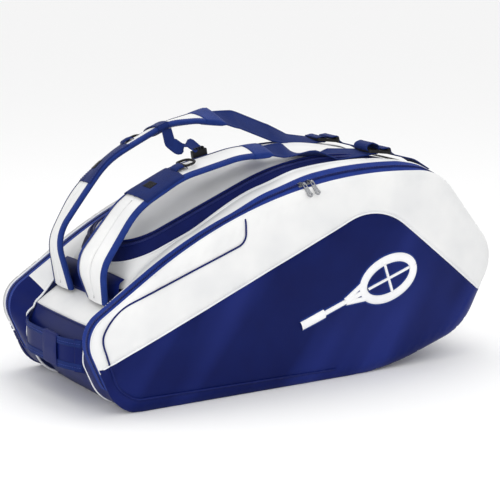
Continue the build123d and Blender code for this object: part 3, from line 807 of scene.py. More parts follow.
for side_name, side in SIDES.items():
    cover = f"{side_name}_cover"
    white = face_skin(f"{side_name}_face_white", white_rim, side)
    finish_piece(white, WHITE, cover, [f"{side_name}_upper_face"])
    navy = face_skin(f"{side_name}_face_navy", navy_rim, side)
    finish_piece(navy, NAVY, cover, [f"{side_name}_lower_face"])
    # Lining of the face, a little inside it.
    lining = cloth_wall(f"{side_name}_cover_lining", face_rim[:-1], 16,
                        lambda k, side=side: side * (FACE_Y - 0.5 + 3.0 * math.sin(k * math.pi / 2)))
    finish_piece(lining, LINING, cover)

    # Piping: white along the panel line, navy round the white field, and along the outline.
    pipe = piping_piece(f"{side_name}_panel_cord", panel_inside, side, PIPE, 0.9)
    finish_piece(pipe, PIPE_WHITE, cover, [f"{side_name}_panel_piping"])
    navy_cord = piping_piece(f"{side_name}_edge_cord", edge_line, side, PIPE, 0.8)
    finish_piece(navy_cord, PIPE_NAVY, cover, [f"{side_name}_edge_piping"])
    s_rim_low = outline_s((-352, 66))
    s_rim_high = outline_s(panel_inside[-1])
    for tone, span in (("white", (s_rim_low, s_rim_high)), ("navy", (s_rim_high, s_rim_low + TOTAL))):
        s = np.linspace(*span, 240)
        p, n = outline_at(s)
        flat = p + n * 0.4
        depth = np.full(len(s), side * (FACE_Y + 0.6))
        line = np.stack([flat[:, 0], depth, np.maximum(flat[:, 1], RIM_CORD)], -1)
        rim_cord = tube(f"{side_name}_rim_cord_{tone}", line, RIM_CORD, sides=10, up=(0, side, 0))
        finish_piece(rim_cord, PIPES[tone], cover)

    # White strip, navy ends, and the two tapes of the zipper.
    strip_ys = np.linspace(SEAM_Y, TAPE_Y, 9)
    strip = band_sheet(f"{side_name}_gusset_white", s_white_start, s_white_end, strip_ys, side)
    finish_piece(strip, WHITE, "bag", [f"{side_name}_top_gusset"])
    for place, *span in (("handle", s_bottom_handle, s_white_start), ("head", s_white_end, s_bottom_head)):
        end = band_sheet(f"{side_name}_gusset_{place}", *span, strip_ys, side)
        finish_piece(end, NAVY_DULL, "bag")
    inner = band_sheet(f"{side_name}_tape_inner", s_bottom_handle, s_bottom_head, TAPE_IN_YS, side)
    finish_piece(inner, TAPE_BLUE, "bag", [f"{side_name}_inner_zip_tape"])
    outer = band_sheet(f"{side_name}_tape_outer", s_bottom_handle, s_bottom_head, TAPE_OUT_YS, side)
    finish_piece(outer, TAPE_BLUE, cover, [f"{side_name}_outer_zip_tape"])
    low = band_sheet(f"{side_name}_gusset_bottom", s_bottom_head, TOTAL + s_bottom_handle,
                     np.linspace(SEAM_Y, FACE_Y, 16), side)
    low.data.materials.append(NAVY_DULL)
    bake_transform(low)
    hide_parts(f"{side_name}_bottom_gusset")

    # Coil: two rows of small teeth that interlock along the zipper's middle.
    for row, y_row, body, shift in (("in", 141.0, "bag", 0), ("out", 143.0, cover, TOOTH_STEP / 2)):
        s = np.arange(s_bottom_handle + 6, s_bottom_head - 6, TOOTH_STEP) + shift
        base = band_line(s, y_row, side)
        ahead = normed(band_line(s + 1, y_row, side) - base)
        up = np.cross(ahead, np.array([0, side, 0]))
        up = up * np.where((up * (base - np.array([0, 0, 150]))).sum(1) < 0, -1, 1)[:, None]
        verts, faces = [], []
        for p, a, u in zip(base, ahead, up):
            k = len(verts)
            for da in (-1.0, 1.0):
                for dy in (-1.6, 1.6):
                    for du in (-0.2, 1.5):
                        shrink = 0.75 if du > 0 else 1.0
                        v = p + a * da * shrink + np.array([0, side * dy * shrink, 0]) + u * du
                        verts.append(tuple(v * MM))
            faces += [(k, k + 1, k + 3, k + 2), (k + 4, k + 6, k + 7, k + 5), (k, k + 4, k + 5, k + 1),
                      (k + 2, k + 3, k + 7, k + 6), (k + 1, k + 5, k + 7, k + 3), (k, k + 2, k + 6, k + 4)]
        mesh = bpy.data.meshes.new(f"{side_name}_teeth_{row}")
        mesh.from_pydata(verts, [], faces)
        finish_piece(link(mesh.name, mesh), COIL, body)

    # Rows of stitches beside the seams.
    white_span = (s_white_start, s_white_end)
    tape_span = (s_bottom_handle + 5, s_bottom_head - 5)
    for tag, y_row, span, tone, body in (("a", 127.2, white_span, "white", "bag"),
                                         ("b", 102.2, white_span, "white", "bag"),
                                         ("c", 131.0, tape_span, "blue", "bag"),
                                         ("d", 150.5, tape_span, "blue", cover)):
        s = np.linspace(*span, 300)
        n = outline_at(s)[1]
        normal = np.stack([n[:, 0], np.zeros(300), n[:, 1]], -1)
        row = stitches(f"{side_name}_stitch_{tag}", band_line(s, y_row, side), normal)
        finish_piece(row, THREADS[tone], body)
    seam = panel_inside[2:-2]
    off = seam + left_of(seam) * 4.0
    row = stitches(f"{side_name}_stitch_panel", face_point(off, side, 0.1), face_normal(off, side))
    finish_piece(row, THREAD_WHITE, cover)

    # Badge: a racket outline in two layers, a flat blue border under a puffed white relief.
    for tag, (line, half) in BADGE_BANDS.items():
        under = badge_band(f"{side_name}_badge_border_{tag}", line, half + BADGE_BORDER, 1.0, side)
        finish_piece(under, BINDING, cover)
        relief = badge_band(f"{side_name}_badge_relief_{tag}", line, half, 3.4, side)
        replaced = [f"{side_name}_badge"] if tag == "ring" else ()
        finish_piece(relief, BADGE_WHITE, cover, replaced)

    # Partition, and the white piping on the seam beside the middle compartment.
    wall_rim = band_line(np.linspace(0, TOTAL, 260, endpoint=False), SEAM_Y, side)[:, [0, 2]]
    wall = cloth_wall(f"{side_name}_partition", wall_rim, 20,
                      lambda k, side=side: side * (SEAM_Y - 1 + 2.0 * math.sin(k * math.pi)))
    finish_piece(wall, LINING, "bag", [f"{side_name}_divider"])
    line = band_line(np.linspace(0, TOTAL, 420, endpoint=False), SEAM_Y, side)
    line[:, 2] = np.maximum(line[:, 2], RIM_CORD)
    seam_cord = tube(f"{side_name}_seam_cord", line, 1.7, sides=10, closed=True, up=(0, side, 0))
    finish_piece(seam_cord, PIPE_WHITE, "bag")

# ------------------------------------------------------------------ middle compartment
middle_top = Path(rounded(MIDDLE_TOP, [MIDDLE_TOP_RADIUS], step=6))


def top_z(x):
    """Height of the middle compartment's profile, where its lid's zipper runs."""
    return np.interp(x, middle_top.points[:, 0], middle_top.points[:, 1])


HEAD_X = 262.0
LID_COUNT = 300


def u_line(half, end, corner):
    """Plan of one line of the U-shaped zipper, from the head end on the near side round to the far."""
    corners = [(HEAD_X, -half), (end, -half), (end, half), (HEAD_X, half)]
    path = Path(rounded(corners, [corner, corner], step=3))
    return path.at(np.linspace(0, path.length, LID_COUNT))


def seam_z(x):
    """Height of the seam between a side compartment and the middle one, over its arched top."""
    line = band_line(np.linspace(s_white_start - 30, s_white_end + 30, 500), SEAM_Y, NEAR)
    return np.interp(x, line[:, 0], line[:, 2])


LID_DOME = 10.0
LID_END, LID_CORNER = -262, 48
# Half width, place of the handle end and corner radius of each line.
lines = {
    "lid": u_line(79, LID_END, LID_CORNER),
    "tape_in": u_line(83, -267, 52),
    "teeth_in": u_line(86, -270, 55),
    "teeth_out": u_line(88, -272, 57),
    "tape_mid": u_line(92.5, -277, 58),
    "tape_out": u_line(95.5, -281, 58),
    "seam": u_line(99, -286, 12),
}

# Lid: from its edge in to the line along its middle, domed, with a slight wave.
edge = lines["lid"]
edge_z = top_z(edge[:, 0]) - 2.0
spine = np.stack([np.clip(edge[:, 0], LID_END + LID_CORNER, HEAD_X), np.zeros(len(edge))], -1)
rows = []
for share in [0, 0.015, 0.04, 0.08, 0.14, 0.22, 0.32, 0.44, 0.58, 0.72, 0.86, 1.0]:
    flat = edge * (1 - share) + spine * share
    dome = LID_DOME * (1 - 0.8 * smooth(flat[:, 0], -40, 110))
    rise = dome * math.sin(share * math.pi / 2) + 1.5 * (1 - math.exp(-share * 24))
    wave = 0.9 * np.sin(flat[:, 0] * 0.031 + flat[:, 1] * 0.04) * math.sin(share * math.pi)
    fade = 1 - 0.75 * smooth(flat[:, 0], 170, 262)
    z = edge_z * (1 - share) + top_z(flat[:, 0]) * share + (rise + wave) * fade
    rows.append(np.stack([flat[:, 0], flat[:, 1], z], -1))
lid = loft("lid_skin", rows)
finish_piece(lid, WHITE, "bag", ["middle_lid"])


def top_ring(name, tags, lifts, material, replaced):
    """A ring round the lid through the named lines, each at the height that its own function gives."""
    rows_ = []
    for tag, lift in zip(tags, lifts):
        flat = lines[tag]
        rows_.append(np.stack([flat[:, 0], flat[:, 1], lift(flat)], -1))
    piece = loft(name, rows_)
    finish_piece(piece, material, "bag", replaced)


def tape_z(drop):
    """A height this far under the middle compartment's profile."""
    return lambda flat: top_z(flat[:, 0]) - drop


# Keys of X against the drop of the side tape, which narrows towards the head end.
band_keys = [(-290, 19), (-100, 21), (40, 11), (220, 7)]


def seam_line_z(flat):
    """Height of the seam under the shoulder, lower round the handle end."""
    return np.minimum(seam_z(np.maximum(flat[:, 0], -284)), top_z(flat[:, 0]) - 5)


def band_z(share):
    """Height of the side tape, at a share of its drop from the teeth."""
    def height(flat):
        drop = eased(flat[:, 0], band_keys)
        return np.maximum(top_z(flat[:, 0]) - 4.2 - drop * share, seam_line_z(flat) + 0.4)
    return height


def shoulder_z(share):
    """Height of the white shoulder, at a share of its way from the side tape down to the seam."""
    def height(flat):
        return seam_line_z(flat) * share + band_z(1.0)(flat) * (1 - share) - 0.3
    return height


top_ring("lid_tape", ["lid", "tape_in", "teeth_in"], [tape_z(2.0), tape_z(2.6), tape_z(3.4)], TAPE_DARK,
         ["lid_zip_tape"])
top_ring("side_band", ["teeth_out", "tape_mid", "tape_out"], [band_z(0.0), band_z(0.45), band_z(1.0)],
         TAPE_DARK, ["middle_zip_tape"])
top_ring("white_shoulder", ["tape_out", "tape_out", "seam", "seam"],
         [shoulder_z(0.0), shoulder_z(0.15), shoulder_z(0.9), shoulder_z(1.0)], WHITE,
         ["handle_end_shoulder"])
flat = lines["tape_out"]
shoulder_cord = tube("shoulder_cord", np.column_stack([flat, band_z(1.0)(flat)]), 1.2, sides=8)
finish_piece(shoulder_cord, PIPE_WHITE, "bag")
lid_line = np.column_stack([lines["lid"], tape_z(0.5)(lines["lid"])])
lid_cord = tube("lid_cord", lid_line, 1.8, sides=10)
finish_piece(lid_cord, PIPE_NAVY, "bag")
for tag, drop in (("teeth_in", 2.6), ("teeth_out", 3.4)):
    flat = lines[tag]
    coil_line = even(np.column_stack([flat, tape_z(drop)(flat)]), 1.2)
    beat = 0.8 + 0.35 * (np.arange(len(coil_line)) % 2)
    coil = tube(f"coil_{tag}", coil_line, 1.25, sides=6, profile=beat)
    finish_piece(coil, COIL, "bag")


def end_panel(name, corners, radii, material, replaced, bulge, puff_z=0.0, step=5.0):
    """An end or the bottom of the middle compartment: one profile, swollen between the side seams."""
    half = SEAM_Y - 1
    line = even(rounded(corners, radii, step=3), step)
    out = left_of(line)
    along = np.linspace(0, 1, len(line))
    ys = half * np.sin(np.linspace(-1, 1, 27) * math.pi / 2)
    rows_ = []
    for y in ys:
        swell = bulge * (1 - (abs(y) / half) ** 3)
        swell = swell + puff_z * np.sin(along * math.pi) * (1 - (abs(y) / half) ** 8)
        flat = line + out * (swell - 0.6 * (abs(y) > half * 0.995))[:, None]
        rows_.append(np.stack([flat[:, 0], np.full(len(flat), y), np.maximum(flat[:, 1], 0.3)], -1))
    piece = loft(name, rows_)
    finish_piece(piece, material, "bag", replaced)
    return piece


end_panel("end_bottom", [(330, 66), (316, 52), (154, 0), (-304, 0)], [4, 500], NAVY_DULL,
          ["bottom_panel"], bulge=0.0)
end_panel("end_navy", [(-290, 0), (-304, 0), (-361, 76), (-338, 119)], [12, 30], NAVY,
          ["handle_end_panel"], bulge=2.0, puff_z=0.6)
white_band = end_panel("end_white_band", [(-338, 119), (-337, 123), (-296, 149), (-294, 153)], [3, 3],
                       WHITE, ["handle_end_band"], bulge=2.0, puff_z=4.5, step=2.5)
end_panel("end_base", [(-296, 153), (-292, 186), (-283, 191)], [5], NAVY_DULL,
          ["strap_base_panel"], bulge=2.0, puff_z=1.5, step=4)
head_curve = [(HEAD_X, top_z(HEAD_X) + 1), (290, 305), (380, 171), (318, 56)]
head = end_panel("end_head", head_curve, [40, 61], WHITE, ["head_end_panel"],
                 bulge=3.0, puff_z=2)
for tag, x, z in (("a", -338, 120), ("b", -295, 153)):
    ys = np.linspace(-SEAM_Y + 2, SEAM_Y - 2, 40)
    swell = 3.0 * (1 - (abs(ys) / SEAM_Y) ** 3)
    line = np.stack([x - swell - 0.5, ys, np.full(40, z + 0.5)], -1)
    cord = tube(f"end_cord_{tag}", line, 1.6, sides=10)
    finish_piece(cord, PIPE_NAVY, "bag")
    up = np.tile([-0.6, 0, 0.8], (40, 1))
    row = stitches(f"end_stitch_{tag}", line + (-1.0, 0, -5.0 if tag == "b" else 5.0), up)
    finish_piece(row, THREAD_WHITE, "bag")


# ------------------------------------------------------------------ straps
class Strap:
    """A strap between two edge lines, so that it can twist along its length."""

    def __init__(self, inner_y, outer_y, inner, outer, inner_radii, outer_radii):
        a = Path(at_y(rounded(inner, inner_radii, step=3), inner_y))
        b = Path(at_y(rounded(outer, outer_radii, step=3), outer_y))
        self.share = np.linspace(0, 1, 150)
        inner_edge, outer_edge = a.at(self.share * a.length), b.at(self.share * b.length)
        self.centre = (inner_edge + outer_edge) / 2
        width = outer_edge - inner_edge
        self.size = np.linalg.norm(width, axis=1)
        self.across = width / self.size[:, None]
        self.ahead = normed(np.gradient(self.centre, axis=0))
        up = normed(np.cross(self.across, self.ahead))
        # Up is away from a point inside the bag, under the straps' arch.
        sign = np.where((up * (self.centre - (-120, 0, 200))).sum(1) < 0, -1, 1)
        self.up = up * sign[:, None]

    def at(self, share, w, lift):
        """Point at a share of the length, w from -1 to 1 across, lifted off the middle surface."""
        half = np.interp(share, self.share, self.size) / 2
        side_step = self.read(self.across, share) * (w * half)[..., None]
        rise = self.read(self.up, share) * np.asarray(lift)[..., None]
        return self.read(self.centre, share) + side_step + rise

    def read(self, values, share):
        """One of the strap's rows of vectors, at a share of the length."""
        return np.stack([np.interp(share, self.share, c) for c in values.T], -1)

    def normal(self, share):
        return normed(self.read(self.up, share))

    def share_at_x(self, x):
        low = int(np.argmin(self.centre[:, 0]))
        return float(np.interp(x, self.centre[low:, 0], self.share[low:]))


PAD_HIGH, PAD_LOW, EDGE_HALF = 3.6, 4.6, 2.0      # puff over and under a strap, and half its edge
CREASE_DEPTH, CREASE_HALF = 4.0, 0.055


def strap_top(w, share):
    """Height of a strap's padded upper side over its middle surface."""
    body = PAD_HIGH * (1 - abs(w) ** 2.4) + EDGE_HALF
    crease = CREASE_DEPTH * groove(w, CREASE_HALF)
    return body - crease * (1 - smooth(share, 0.36, 0.46)) * smooth(share, 0.0, 0.05)


def strap_under(w):
    """Height of its mesh lining, under the middle surface."""
    return -PAD_LOW * (1 - abs(w) ** 3.0) - EDGE_HALF


STRAPS = {
    "near": Strap(-26, -94, [(-307, 153), (-332, 212), (-252, 301), (-164, 340), (-55, 362), (2, 364)],
                  [(-311, 153), (-313, 207), (-255, 293), (-176, 335), (-75, 357), (-14, 358)],
                  [45, 110, 160, 200], [60, 120, 150, 150]),
    "far": Strap(26, 94, [(-309, 153), (-334, 240), (-243, 353), (-135, 403), (-80, 402), (-28, 393)],
                 [(-306, 153), (-316, 222), (-271, 302), (-189, 358), (-110, 391), (-26, 411)],
                 [60, 120, 90, 120], [60, 150, 200, 200]),
}
PATCH_X = {"near": (-240, -172), "far": (-266, -197)}
TAB_X = {"near": -164.0, "far": -189.0}
# Section of the binding, from the strap's top round its edge: places across it, and heights over
# the padded top, from the middle surface, and under the lining.
BINDING_OVER = [(0.76, 0.9), (0.86, 1.0), (0.95, 0.9)]
BINDING_EDGE = [(1.0, 1.82), (1.012, 0.0), (1.0, -1.82)]
BINDING_UNDER = [(0.95, 0.8), (0.86, 0.8), (0.76, 0.6)]


def strap_sheet(name, strap, shares, ws, heights, material, replaced=()):
    """A sheet on a strap: ws are places across it, each with its height or a function for it."""
    rows_ = []
    for w, h in zip(ws, heights):
        lift = h(shares) if callable(h) else np.full(len(shares), float(h))
        rows_.append(strap.at(shares, np.full(len(shares), w), lift))
    piece = loft(name, rows_)
    finish_piece(piece, material, "bag", replaced)
    return piece


for side_name, strap in STRAPS.items():
    shares = np.linspace(0.0, 0.978, 190)
    half_ws = [0.015, 0.04, 0.08, 0.13, 0.2, 0.3, 0.45, 0.6, 0.7, 0.8]
    ws = [-w for w in reversed(half_ws)] + [0.0] + half_ws
    top = strap_sheet(f"{side_name}_strap_top", strap, shares, ws,
                      [lambda s, w=w: strap_top(w, s) for w in ws], WHITE,
                      [f"{side_name}_strap_pad"])
    under_ws = np.linspace(-0.80, 0.80, 13)
    under = strap_sheet(f"{side_name}_strap_mesh", strap, shares, under_ws,
                        [strap_under(w) for w in under_ws], MESH_GREY, [f"{side_name}_strap_lining"])
    for edge_name, sign in (("inner", -1), ("outer", 1)):
        over = [lambda s, w=w, rise=rise: strap_top(w, s) + rise for w, rise in BINDING_OVER]
        below = [strap_under(w) - rise for w, rise in BINDING_UNDER]
        ws_ = [w for w, _ in BINDING_OVER + BINDING_EDGE + BINDING_UNDER]
        hs = over + [rise for _, rise in BINDING_EDGE] + below
        strap_sheet(f"{side_name}_binding_{edge_name}", strap, shares, [sign * w for w in ws_], hs, BINDING)
        line = strap.at(shares, np.full(len(shares), sign * 0.79), strap_top(sign * 0.79, shares) + 0.9)
        row = stitches(f"{side_name}_strap_stitch_{edge_name}", line, strap.normal(shares), 2.6, 1.5)
        finish_piece(row, THREAD_BLUE, "bag")

    # Painted shade: a thin grey cord along the strap's centre crease darkens it.
    crease_shares = np.linspace(0.015, 0.41, 90)
    crease_line = strap.at(crease_shares, np.zeros(90), strap_top(0.0, crease_shares) + 0.1)
    crease = tube(f"{side_name}_strap_crease_shade", crease_line, 0.9, sides=6)
    finish_piece(crease, CREASE_SHADE, "bag")

    # Woven patch with a blank label, a folded tab under the D-ring, and the cap at the end.
    s0, s1 = (strap.share_at_x(x) for x in PATCH_X[side_name])
    patch_shares = np.linspace(s0, s1, 30)
    ws_ = np.linspace(-1.0, 1.0, 21)
    patch = strap_sheet(f"{side_name}_patch", strap, patch_shares, ws_,
                        [lambda s, w=w: np.maximum(strap_top(w, s), 1.5) + (1.7 if abs(w) < 0.99 else 0.4)
                         for w in ws_],
                        PATCH, [f"{side_name}_strap_patch"])
    thicken(patch, 1.2)
    border = []
    for w, run in ((-0.9, (s0, s1)), (0.9, (s1, s0))):
        sh = np.linspace(*run, 20)
        border.append(strap.at(sh, np.full(20, w), strap_top(w, sh) + 1.9))
    row_line = np.vstack(border)
    normals = np.vstack([strap.normal(np.linspace(s0, s1, 20)), strap.normal(np.linspace(s1, s0, 20))])
    row = stitches(f"{side_name}_patch_stitch", row_line, normals, 2.6, 1.5)
    finish_piece(row, THREAD_BLUE, "bag")
    label_shares = np.linspace(s0 + (s1 - s0) * 0.3, s0 + (s1 - s0) * 0.5, 8)
    label_ws = np.linspace(-0.35, 0.35, 9)
    label = strap_sheet(f"{side_name}_label", strap, label_shares, label_ws,
                        [lambda s, w=w: strap_top(w, s) + 2.5 for w in label_ws], LABEL)
    thicken(label, 0.7)
    tab_s = strap.share_at_x(TAB_X[side_name])
    tab_shares = tab_s + np.linspace(-0.022, 0.022, 12)
    tab_profile = 2.0 + 4.2 * np.sqrt(np.clip(1 - (np.linspace(-1, 1, 12)) ** 4, 0, 1))
    tab_ws = np.linspace(-0.34, 0.34, 7)
    tab = strap_sheet(f"{side_name}_tab", strap, tab_shares, tab_ws,
                      [lambda s, w=w: strap_top(w, s) + tab_profile - 2.0 * (abs(w) > 0.33)
                       for w in tab_ws],
                      WEBBING)
    thicken(tab, 1.4)
    cap_shares = np.linspace(0.915, 1.0, 10)
    loop = [(w, "top") for w in np.linspace(-1, 1, 13)] + [(w, "under") for w in np.linspace(1, -1, 13)]
    rows_ = []
    for w, kind in loop + loop[:1]:
        grow = 1.2 + 0.6 * np.sin(np.linspace(0, math.pi, 10))
        fold = 1 - 0.6 * smooth(cap_shares, 0.98, 1.0)
        height = strap_top(w, cap_shares) + grow if kind == "top" else strap_under(w) - grow
        rows_.append(strap.at(cap_shares, np.full(10, w * 1.02), height * fold))
    cap = loft(f"{side_name}_cap", rows_)
    clean(cap)
    close_ends(cap, turn_out=True)
    finish_piece(cap, BINDING, "bag", [f"{side_name}_strap_cap"])


# ------------------------------------------------------------------ webbing
def ribbon(name, centres, across, width, thickness, material, body="bag", replaced=()):
    """A strip of webbing along points in space; across gives its width direction at each of them."""
    centres = np.asarray(centres, float)
    across = np.asarray(across, float)
    path = Path(centres)
    s = np.linspace(0, path.length, max(8, int(path.length / 3)))
    line = path.at(s)
    side_ = np.stack([np.interp(s, path.reach, c) for c in across.T], -1)
    ahead = normed(np.gradient(line, axis=0))
    side_ = normed(side_ - ahead * (side_ * ahead).sum(1, keepdims=True))
    up = np.cross(side_, ahead)
    half, thick = width / 2, thickness / 2
    # Half of the section, from edge to edge, with a raised selvedge at each; then the other half.
    ring = [(-half, 0), (-half + 0.6, thick), (-half + 3.2, thick * 1.15), (-half + 3.8, thick * 0.8)]
    ring += [(w, thick * 0.8) for w in np.linspace(-half + 6, half - 6, 7)]
    ring += [(half - 3.8, thick * 0.8), (half - 3.2, thick * 1.15), (half - 0.6, thick), (half, 0)]
    ring += [(-w, -t) for w, t in ring[1:-1]] + [ring[0]]
    points = [line + side_ * w + up * t for w, t in ring]
    reach = np.cumsum([0] + [math.dist(a, b) for a, b in zip(ring, ring[1:])])
    uv = np.stack(np.broadcast_arrays(s[:, None], reach[None, :]), -1)
    piece = loft(name, points, uv=uv)
    clean(piece)
    close_ends(piece)
    finish_piece(piece, material, body, replaced)


def along_y(corners, radii, y):
    """Centre line in X and Z at a fixed Y, with its width along Y."""
    line = at_y(rounded(corners, radii, step=3), y)
    return line, np.tile([0.0, 1.0, 0.0], (len(line), 1))


def twisted(places, keys):
    """Width directions of a webbing that twists about X: keys are (x, degrees)."""
    turned = np.radians(eased(places, keys))
    return np.stack([np.zeros(len(turned)), np.cos(turned), -np.sin(turned)], -1)


WEB_WIDTH, WEB_THICK = 38, 1.9
near_flat = rounded([(-14, 360), (20, 359), (66, 347), (112, 346), (176, 345)], [40, 60, 200], step=3)
near_y = eased(near_flat[:, 0], [(-10, -62), (60, -74)])
near_line = np.stack([near_flat[:, 0], near_y, near_flat[:, 1]], -1)
near_twist = [(-14, -12), (18, -30), (66, 34), (104, -22), (140, -20), (172, -6)]
ribbon("near_web", near_line, twisted(near_flat[:, 0], near_twist), WEB_WIDTH, WEB_THICK, WEBBING,
       replaced=["near_webbing"])
far_flat = rounded([(-36, 402), (14, 393), (80, 366), (124, 350), (176, 346)], [60, 80, 60], step=3)
far_line = np.stack([far_flat[:, 0], eased(far_flat[:, 0], [(-30, 60), (60, 74)]), far_flat[:, 1]], -1)
far_twist = [(-32, -18), (10, -46), (90, -46), (135, -20), (172, -6)]
ribbon("far_web", far_line, twisted(far_flat[:, 0], far_twist), WEB_WIDTH, WEB_THICK, WEBBING,
       replaced=["far_webbing"])
# Y of each lock, and the webbing's fold round its first bar and back over itself, in X and Z.
NEAR_FOLD = [(168, 345), (189, 343), (191, 356), (178, 362), (165, 358), (166, 350), (172, 349)]
FAR_FOLD = [(168, 345), (187, 343), (188, 351), (180, 353), (168, 351)]
ANCHOR = [(197, 350), (212, 351.5), (214, 343), (222, 338), (262, 327.5), (292, 309)]
for side_name, y, fold, fold_radii in (("near", -74.0, NEAR_FOLD, [4, 5, 6, 5, 3]),
                                       ("far", 76.0, FAR_FOLD, [3, 3, 5])):
    line, across = along_y(fold, fold_radii, y)
    ribbon(f"{side_name}_web_fold", line, across, 37, 1.8, WEBBING, f"{side_name}_ladder_lock")
    line, across = along_y(ANCHOR, [3, 3, 12, 40], y)
    ribbon(f"{side_name}_anchor_web", line, across, WEB_WIDTH, WEB_THICK, WEBBING,
           replaced=[f"{side_name}_anchor_webbing"])

# ------------------------------------------------------------------ sternum strap
LOOP_X = -139
far_strap = STRAPS["far"]
loop_s = far_strap.share_at_x(LOOP_X)
ws_ = np.linspace(-1.05, 1.05, 15)
ring_rows = [(w, strap_top(min(abs(w), 1.0), loop_s) + 2.2) for w in ws_]
ring_rows += [(w, strap_under(min(abs(w), 1.0)) - 1.4) for w in ws_[::-1]]
ring_rows = np.array(ring_rows + ring_rows[:1])
loop_centres = far_strap.at(np.full(len(ring_rows), loop_s), ring_rows[:, 0], ring_rows[:, 1])
loop_dir = np.tile(far_strap.read(far_strap.ahead, loop_s), (len(loop_centres), 1))
ribbon("sternum_web_loop", loop_centres, loop_dir, 20, 1.6, WEBBING, replaced=["sternum_loop"])
link_line = rounded([(-139, 27, 394), (-137, 20, 374), (-126, 2, 361), (-120, -7, 377), (-109, -25, 364)],
                    [8, 9, 7], step=2)
# It twists from lying flat to facing the near side, and back.
twist = np.sin(np.linspace(0, math.pi, len(link_line)))[:, None]
link_across = np.array([1.0, 0.25, 0.1]) * (1 - twist) + np.array([0.54, -0.13, 0.77]) * twist
ribbon("sternum_web", link_line, link_across, 21, 1.8, WEBBING, replaced=["sternum_webbing"])

# ------------------------------------------------------------------ grab handle
HANDLE_Z = 80.0
handle_flat = rounded([(-354, -97), (-371, -62), (-372, 62), (-354, 97)], [90, 90], step=4)
handle_line = np.stack([handle_flat[:, 0], handle_flat[:, 1], np.full(len(handle_flat), HANDLE_Z)], -1)
up = np.tile([0.0, 0.0, 1.0], (len(handle_line), 1))
ribbon("handle_core", handle_line, up, 46, 3.2, NAVY_DULL, "handle", ["grab_handle"])
for tag, offset in (("low", -18.5), ("high", 18.5)):
    strip_line = handle_line + (-1.4, 0, offset)
    ribbon(f"handle_edge_{tag}", strip_line, up, 12, 2.2, WEBBING, "handle")
    row_line = even(strip_line + (-1.6, 0, 0), 3)
    row = stitches(f"handle_stitch_{tag}", row_line, np.tile([-1.0, 0, 0], (len(row_line), 1)))
    finish_piece(row, THREAD_BLUE, "handle")
# Section of the sleeve round the middle of the band, in X and Z.
wrap_ring = [(-367.0, 54), (-374.5, 54), (-376.5, 80), (-374.5, 106), (-367.0, 106), (-366.4, 80)]
wrap_path = even(rounded(wrap_ring, [3, 3, 60, 3, 3, 60], closed=True, step=1.5), 2.5)
rows_ = []
outward = normed(wrap_path - wrap_path.mean(0))
for y in [-47.5, -47, -44, -36, -24, -12, -4, -1, -0.5]:
    ring = wrap_path + outward * (0.0 if -47 < y < -1 else -0.8)
    rows_.append(at_y(ring, y))
wrap = loft("handle_sleeve", rows_)
clean(wrap)
thicken(wrap, 1.2)
finish_piece(wrap, NAVY_DULL, "handle", ["handle_wrap"])
# The band's ends are sewn under a tab at each side seam.
for tag, y_side in SIDES.items():
    tab_line = even(np.array([(-353, y_side * 99.5, HANDLE_Z), (-362, y_side * 84, HANDLE_Z)]), 2)
    ribbon(f"handle_root_{tag}", tab_line, np.tile([0.0, 0.0, 1.0], (len(tab_line), 1)), 52, 2.0, NAVY_DULL)

# ------------------------------------------------------------------ hardware carried over from the CAD
for name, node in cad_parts.items():
    if node.hide_render:
        continue
    material = CHROME if ("slider" in name or "pull" in name) else BLACK
    node.data.materials.clear()
    node.data.materials.append(material)
    bevel = node.modifiers.new("edges", "BEVEL")
    bevel.width = 0.5 * MM
    bevel.segments = 2
    bevel.limit_method = "ANGLE"

# ------------------------------------------------------------------ floor, light and camera
FLOOR_HALF = 40.0
floor_mesh = bpy.data.meshes.new("floor")
floor_corners = [(x * FLOOR_HALF, y * FLOOR_HALF, 0) for x, y in ((-1, -1), (1, -1), (1, 1), (-1, 1))]
floor_mesh.from_pydata(floor_corners, [], [(0, 1, 2, 3)])
floor = link("floor", floor_mesh)
floor.location.z = -0.0005
floor_material, nodes, links, shader = new_material("floor_pale")
shader.inputs["Base Color"].default_value = (0.95, 0.95, 0.95, 1)
shader.inputs["Roughness"].default_value = 0.9
floor.data.materials.append(floor_material)

world = bpy.data.worlds.new("studio")
bpy.context.scene.world = world
world.use_nodes = True
nodes, links = world.node_tree.nodes, world.node_tree.links
direction = nodes.new("ShaderNodeTexCoord")
facing = nodes.new("ShaderNodeVectorMath")
facing.operation = "DOT_PRODUCT"
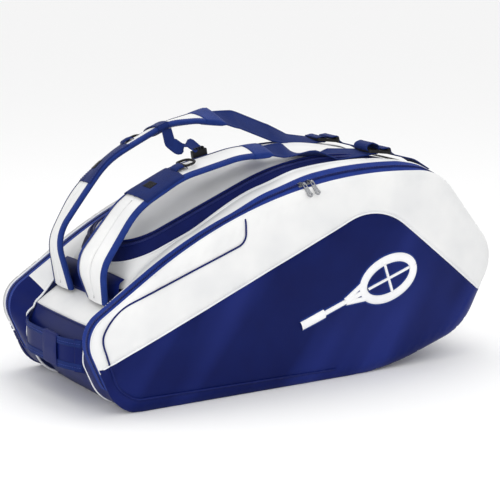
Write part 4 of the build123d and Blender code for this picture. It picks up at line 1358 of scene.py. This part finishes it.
# The sky is brighter on the far side and at the head end.
facing.inputs[1].default_value = (0.52, 0.85, 0.0)
links.new(direction.outputs["Generated"], facing.inputs[0])
shade = nodes.new("ShaderNodeMapRange")
shade.inputs["From Min"].default_value = -0.5
shade.inputs["From Max"].default_value = 0.5
shade.inputs["To Min"].default_value = 0.8
shade.inputs["To Max"].default_value = 1.1
links.new(facing.outputs["Value"], shade.inputs["Value"])
links.new(shade.outputs["Result"], nodes["Background"].inputs["Strength"])
nodes["Background"].inputs["Color"].default_value = (1, 1, 1, 1)


def soft_light(name, place, target, size_m, power):
    """A rectangular lamp aimed at a point, in metres and watts."""
    data = bpy.data.lights.new(name, "AREA")
    data.shape = "RECTANGLE"
    data.size, data.size_y = size_m
    data.energy = power
    light = bpy.data.objects.new(name, data)
    light.location = place
    light.rotation_euler = (Vector(target) - Vector(place)).to_track_quat("-Z", "Y").to_euler()
    bpy.context.scene.collection.objects.link(light)


soft_light("key", (-0.2, -1.9, 1.7), (0, 0, 0.15), (1.5, 0.8), 4)
soft_light("side", (-2.0, -0.9, 0.9), (0, 0, 0.15), (0.9, 1.2), 6)
soft_light("low", (-1.3, -2.3, 0.55), (0, 0, 0.25), (1.2, 0.7), 10)
soft_light("top", (0.3, 0.3, 2.2), (0, 0, 0.2), (1.8, 1.2), 9)

AZIMUTH, ELEVATION, DISTANCE, AIM_HEIGHT = math.radians(-31.5), math.radians(12.0), 2.9766, 0.187
camera_data = bpy.data.cameras.new("camera")
camera_data.sensor_width = 36
camera_data.lens = 131.04
camera = bpy.data.objects.new("camera", camera_data)
back = Vector((math.sin(AZIMUTH) * math.cos(ELEVATION), -math.cos(AZIMUTH) * math.cos(ELEVATION),
               math.sin(ELEVATION)))
camera.location = Vector((0, 0, AIM_HEIGHT)) + back * DISTANCE
camera.rotation_euler = (-back).to_track_quat("-Z", "Y").to_euler()
bpy.context.scene.collection.objects.link(camera)
bpy.context.scene.camera = camera
bpy.context.scene.view_settings.view_transform = "Standard"
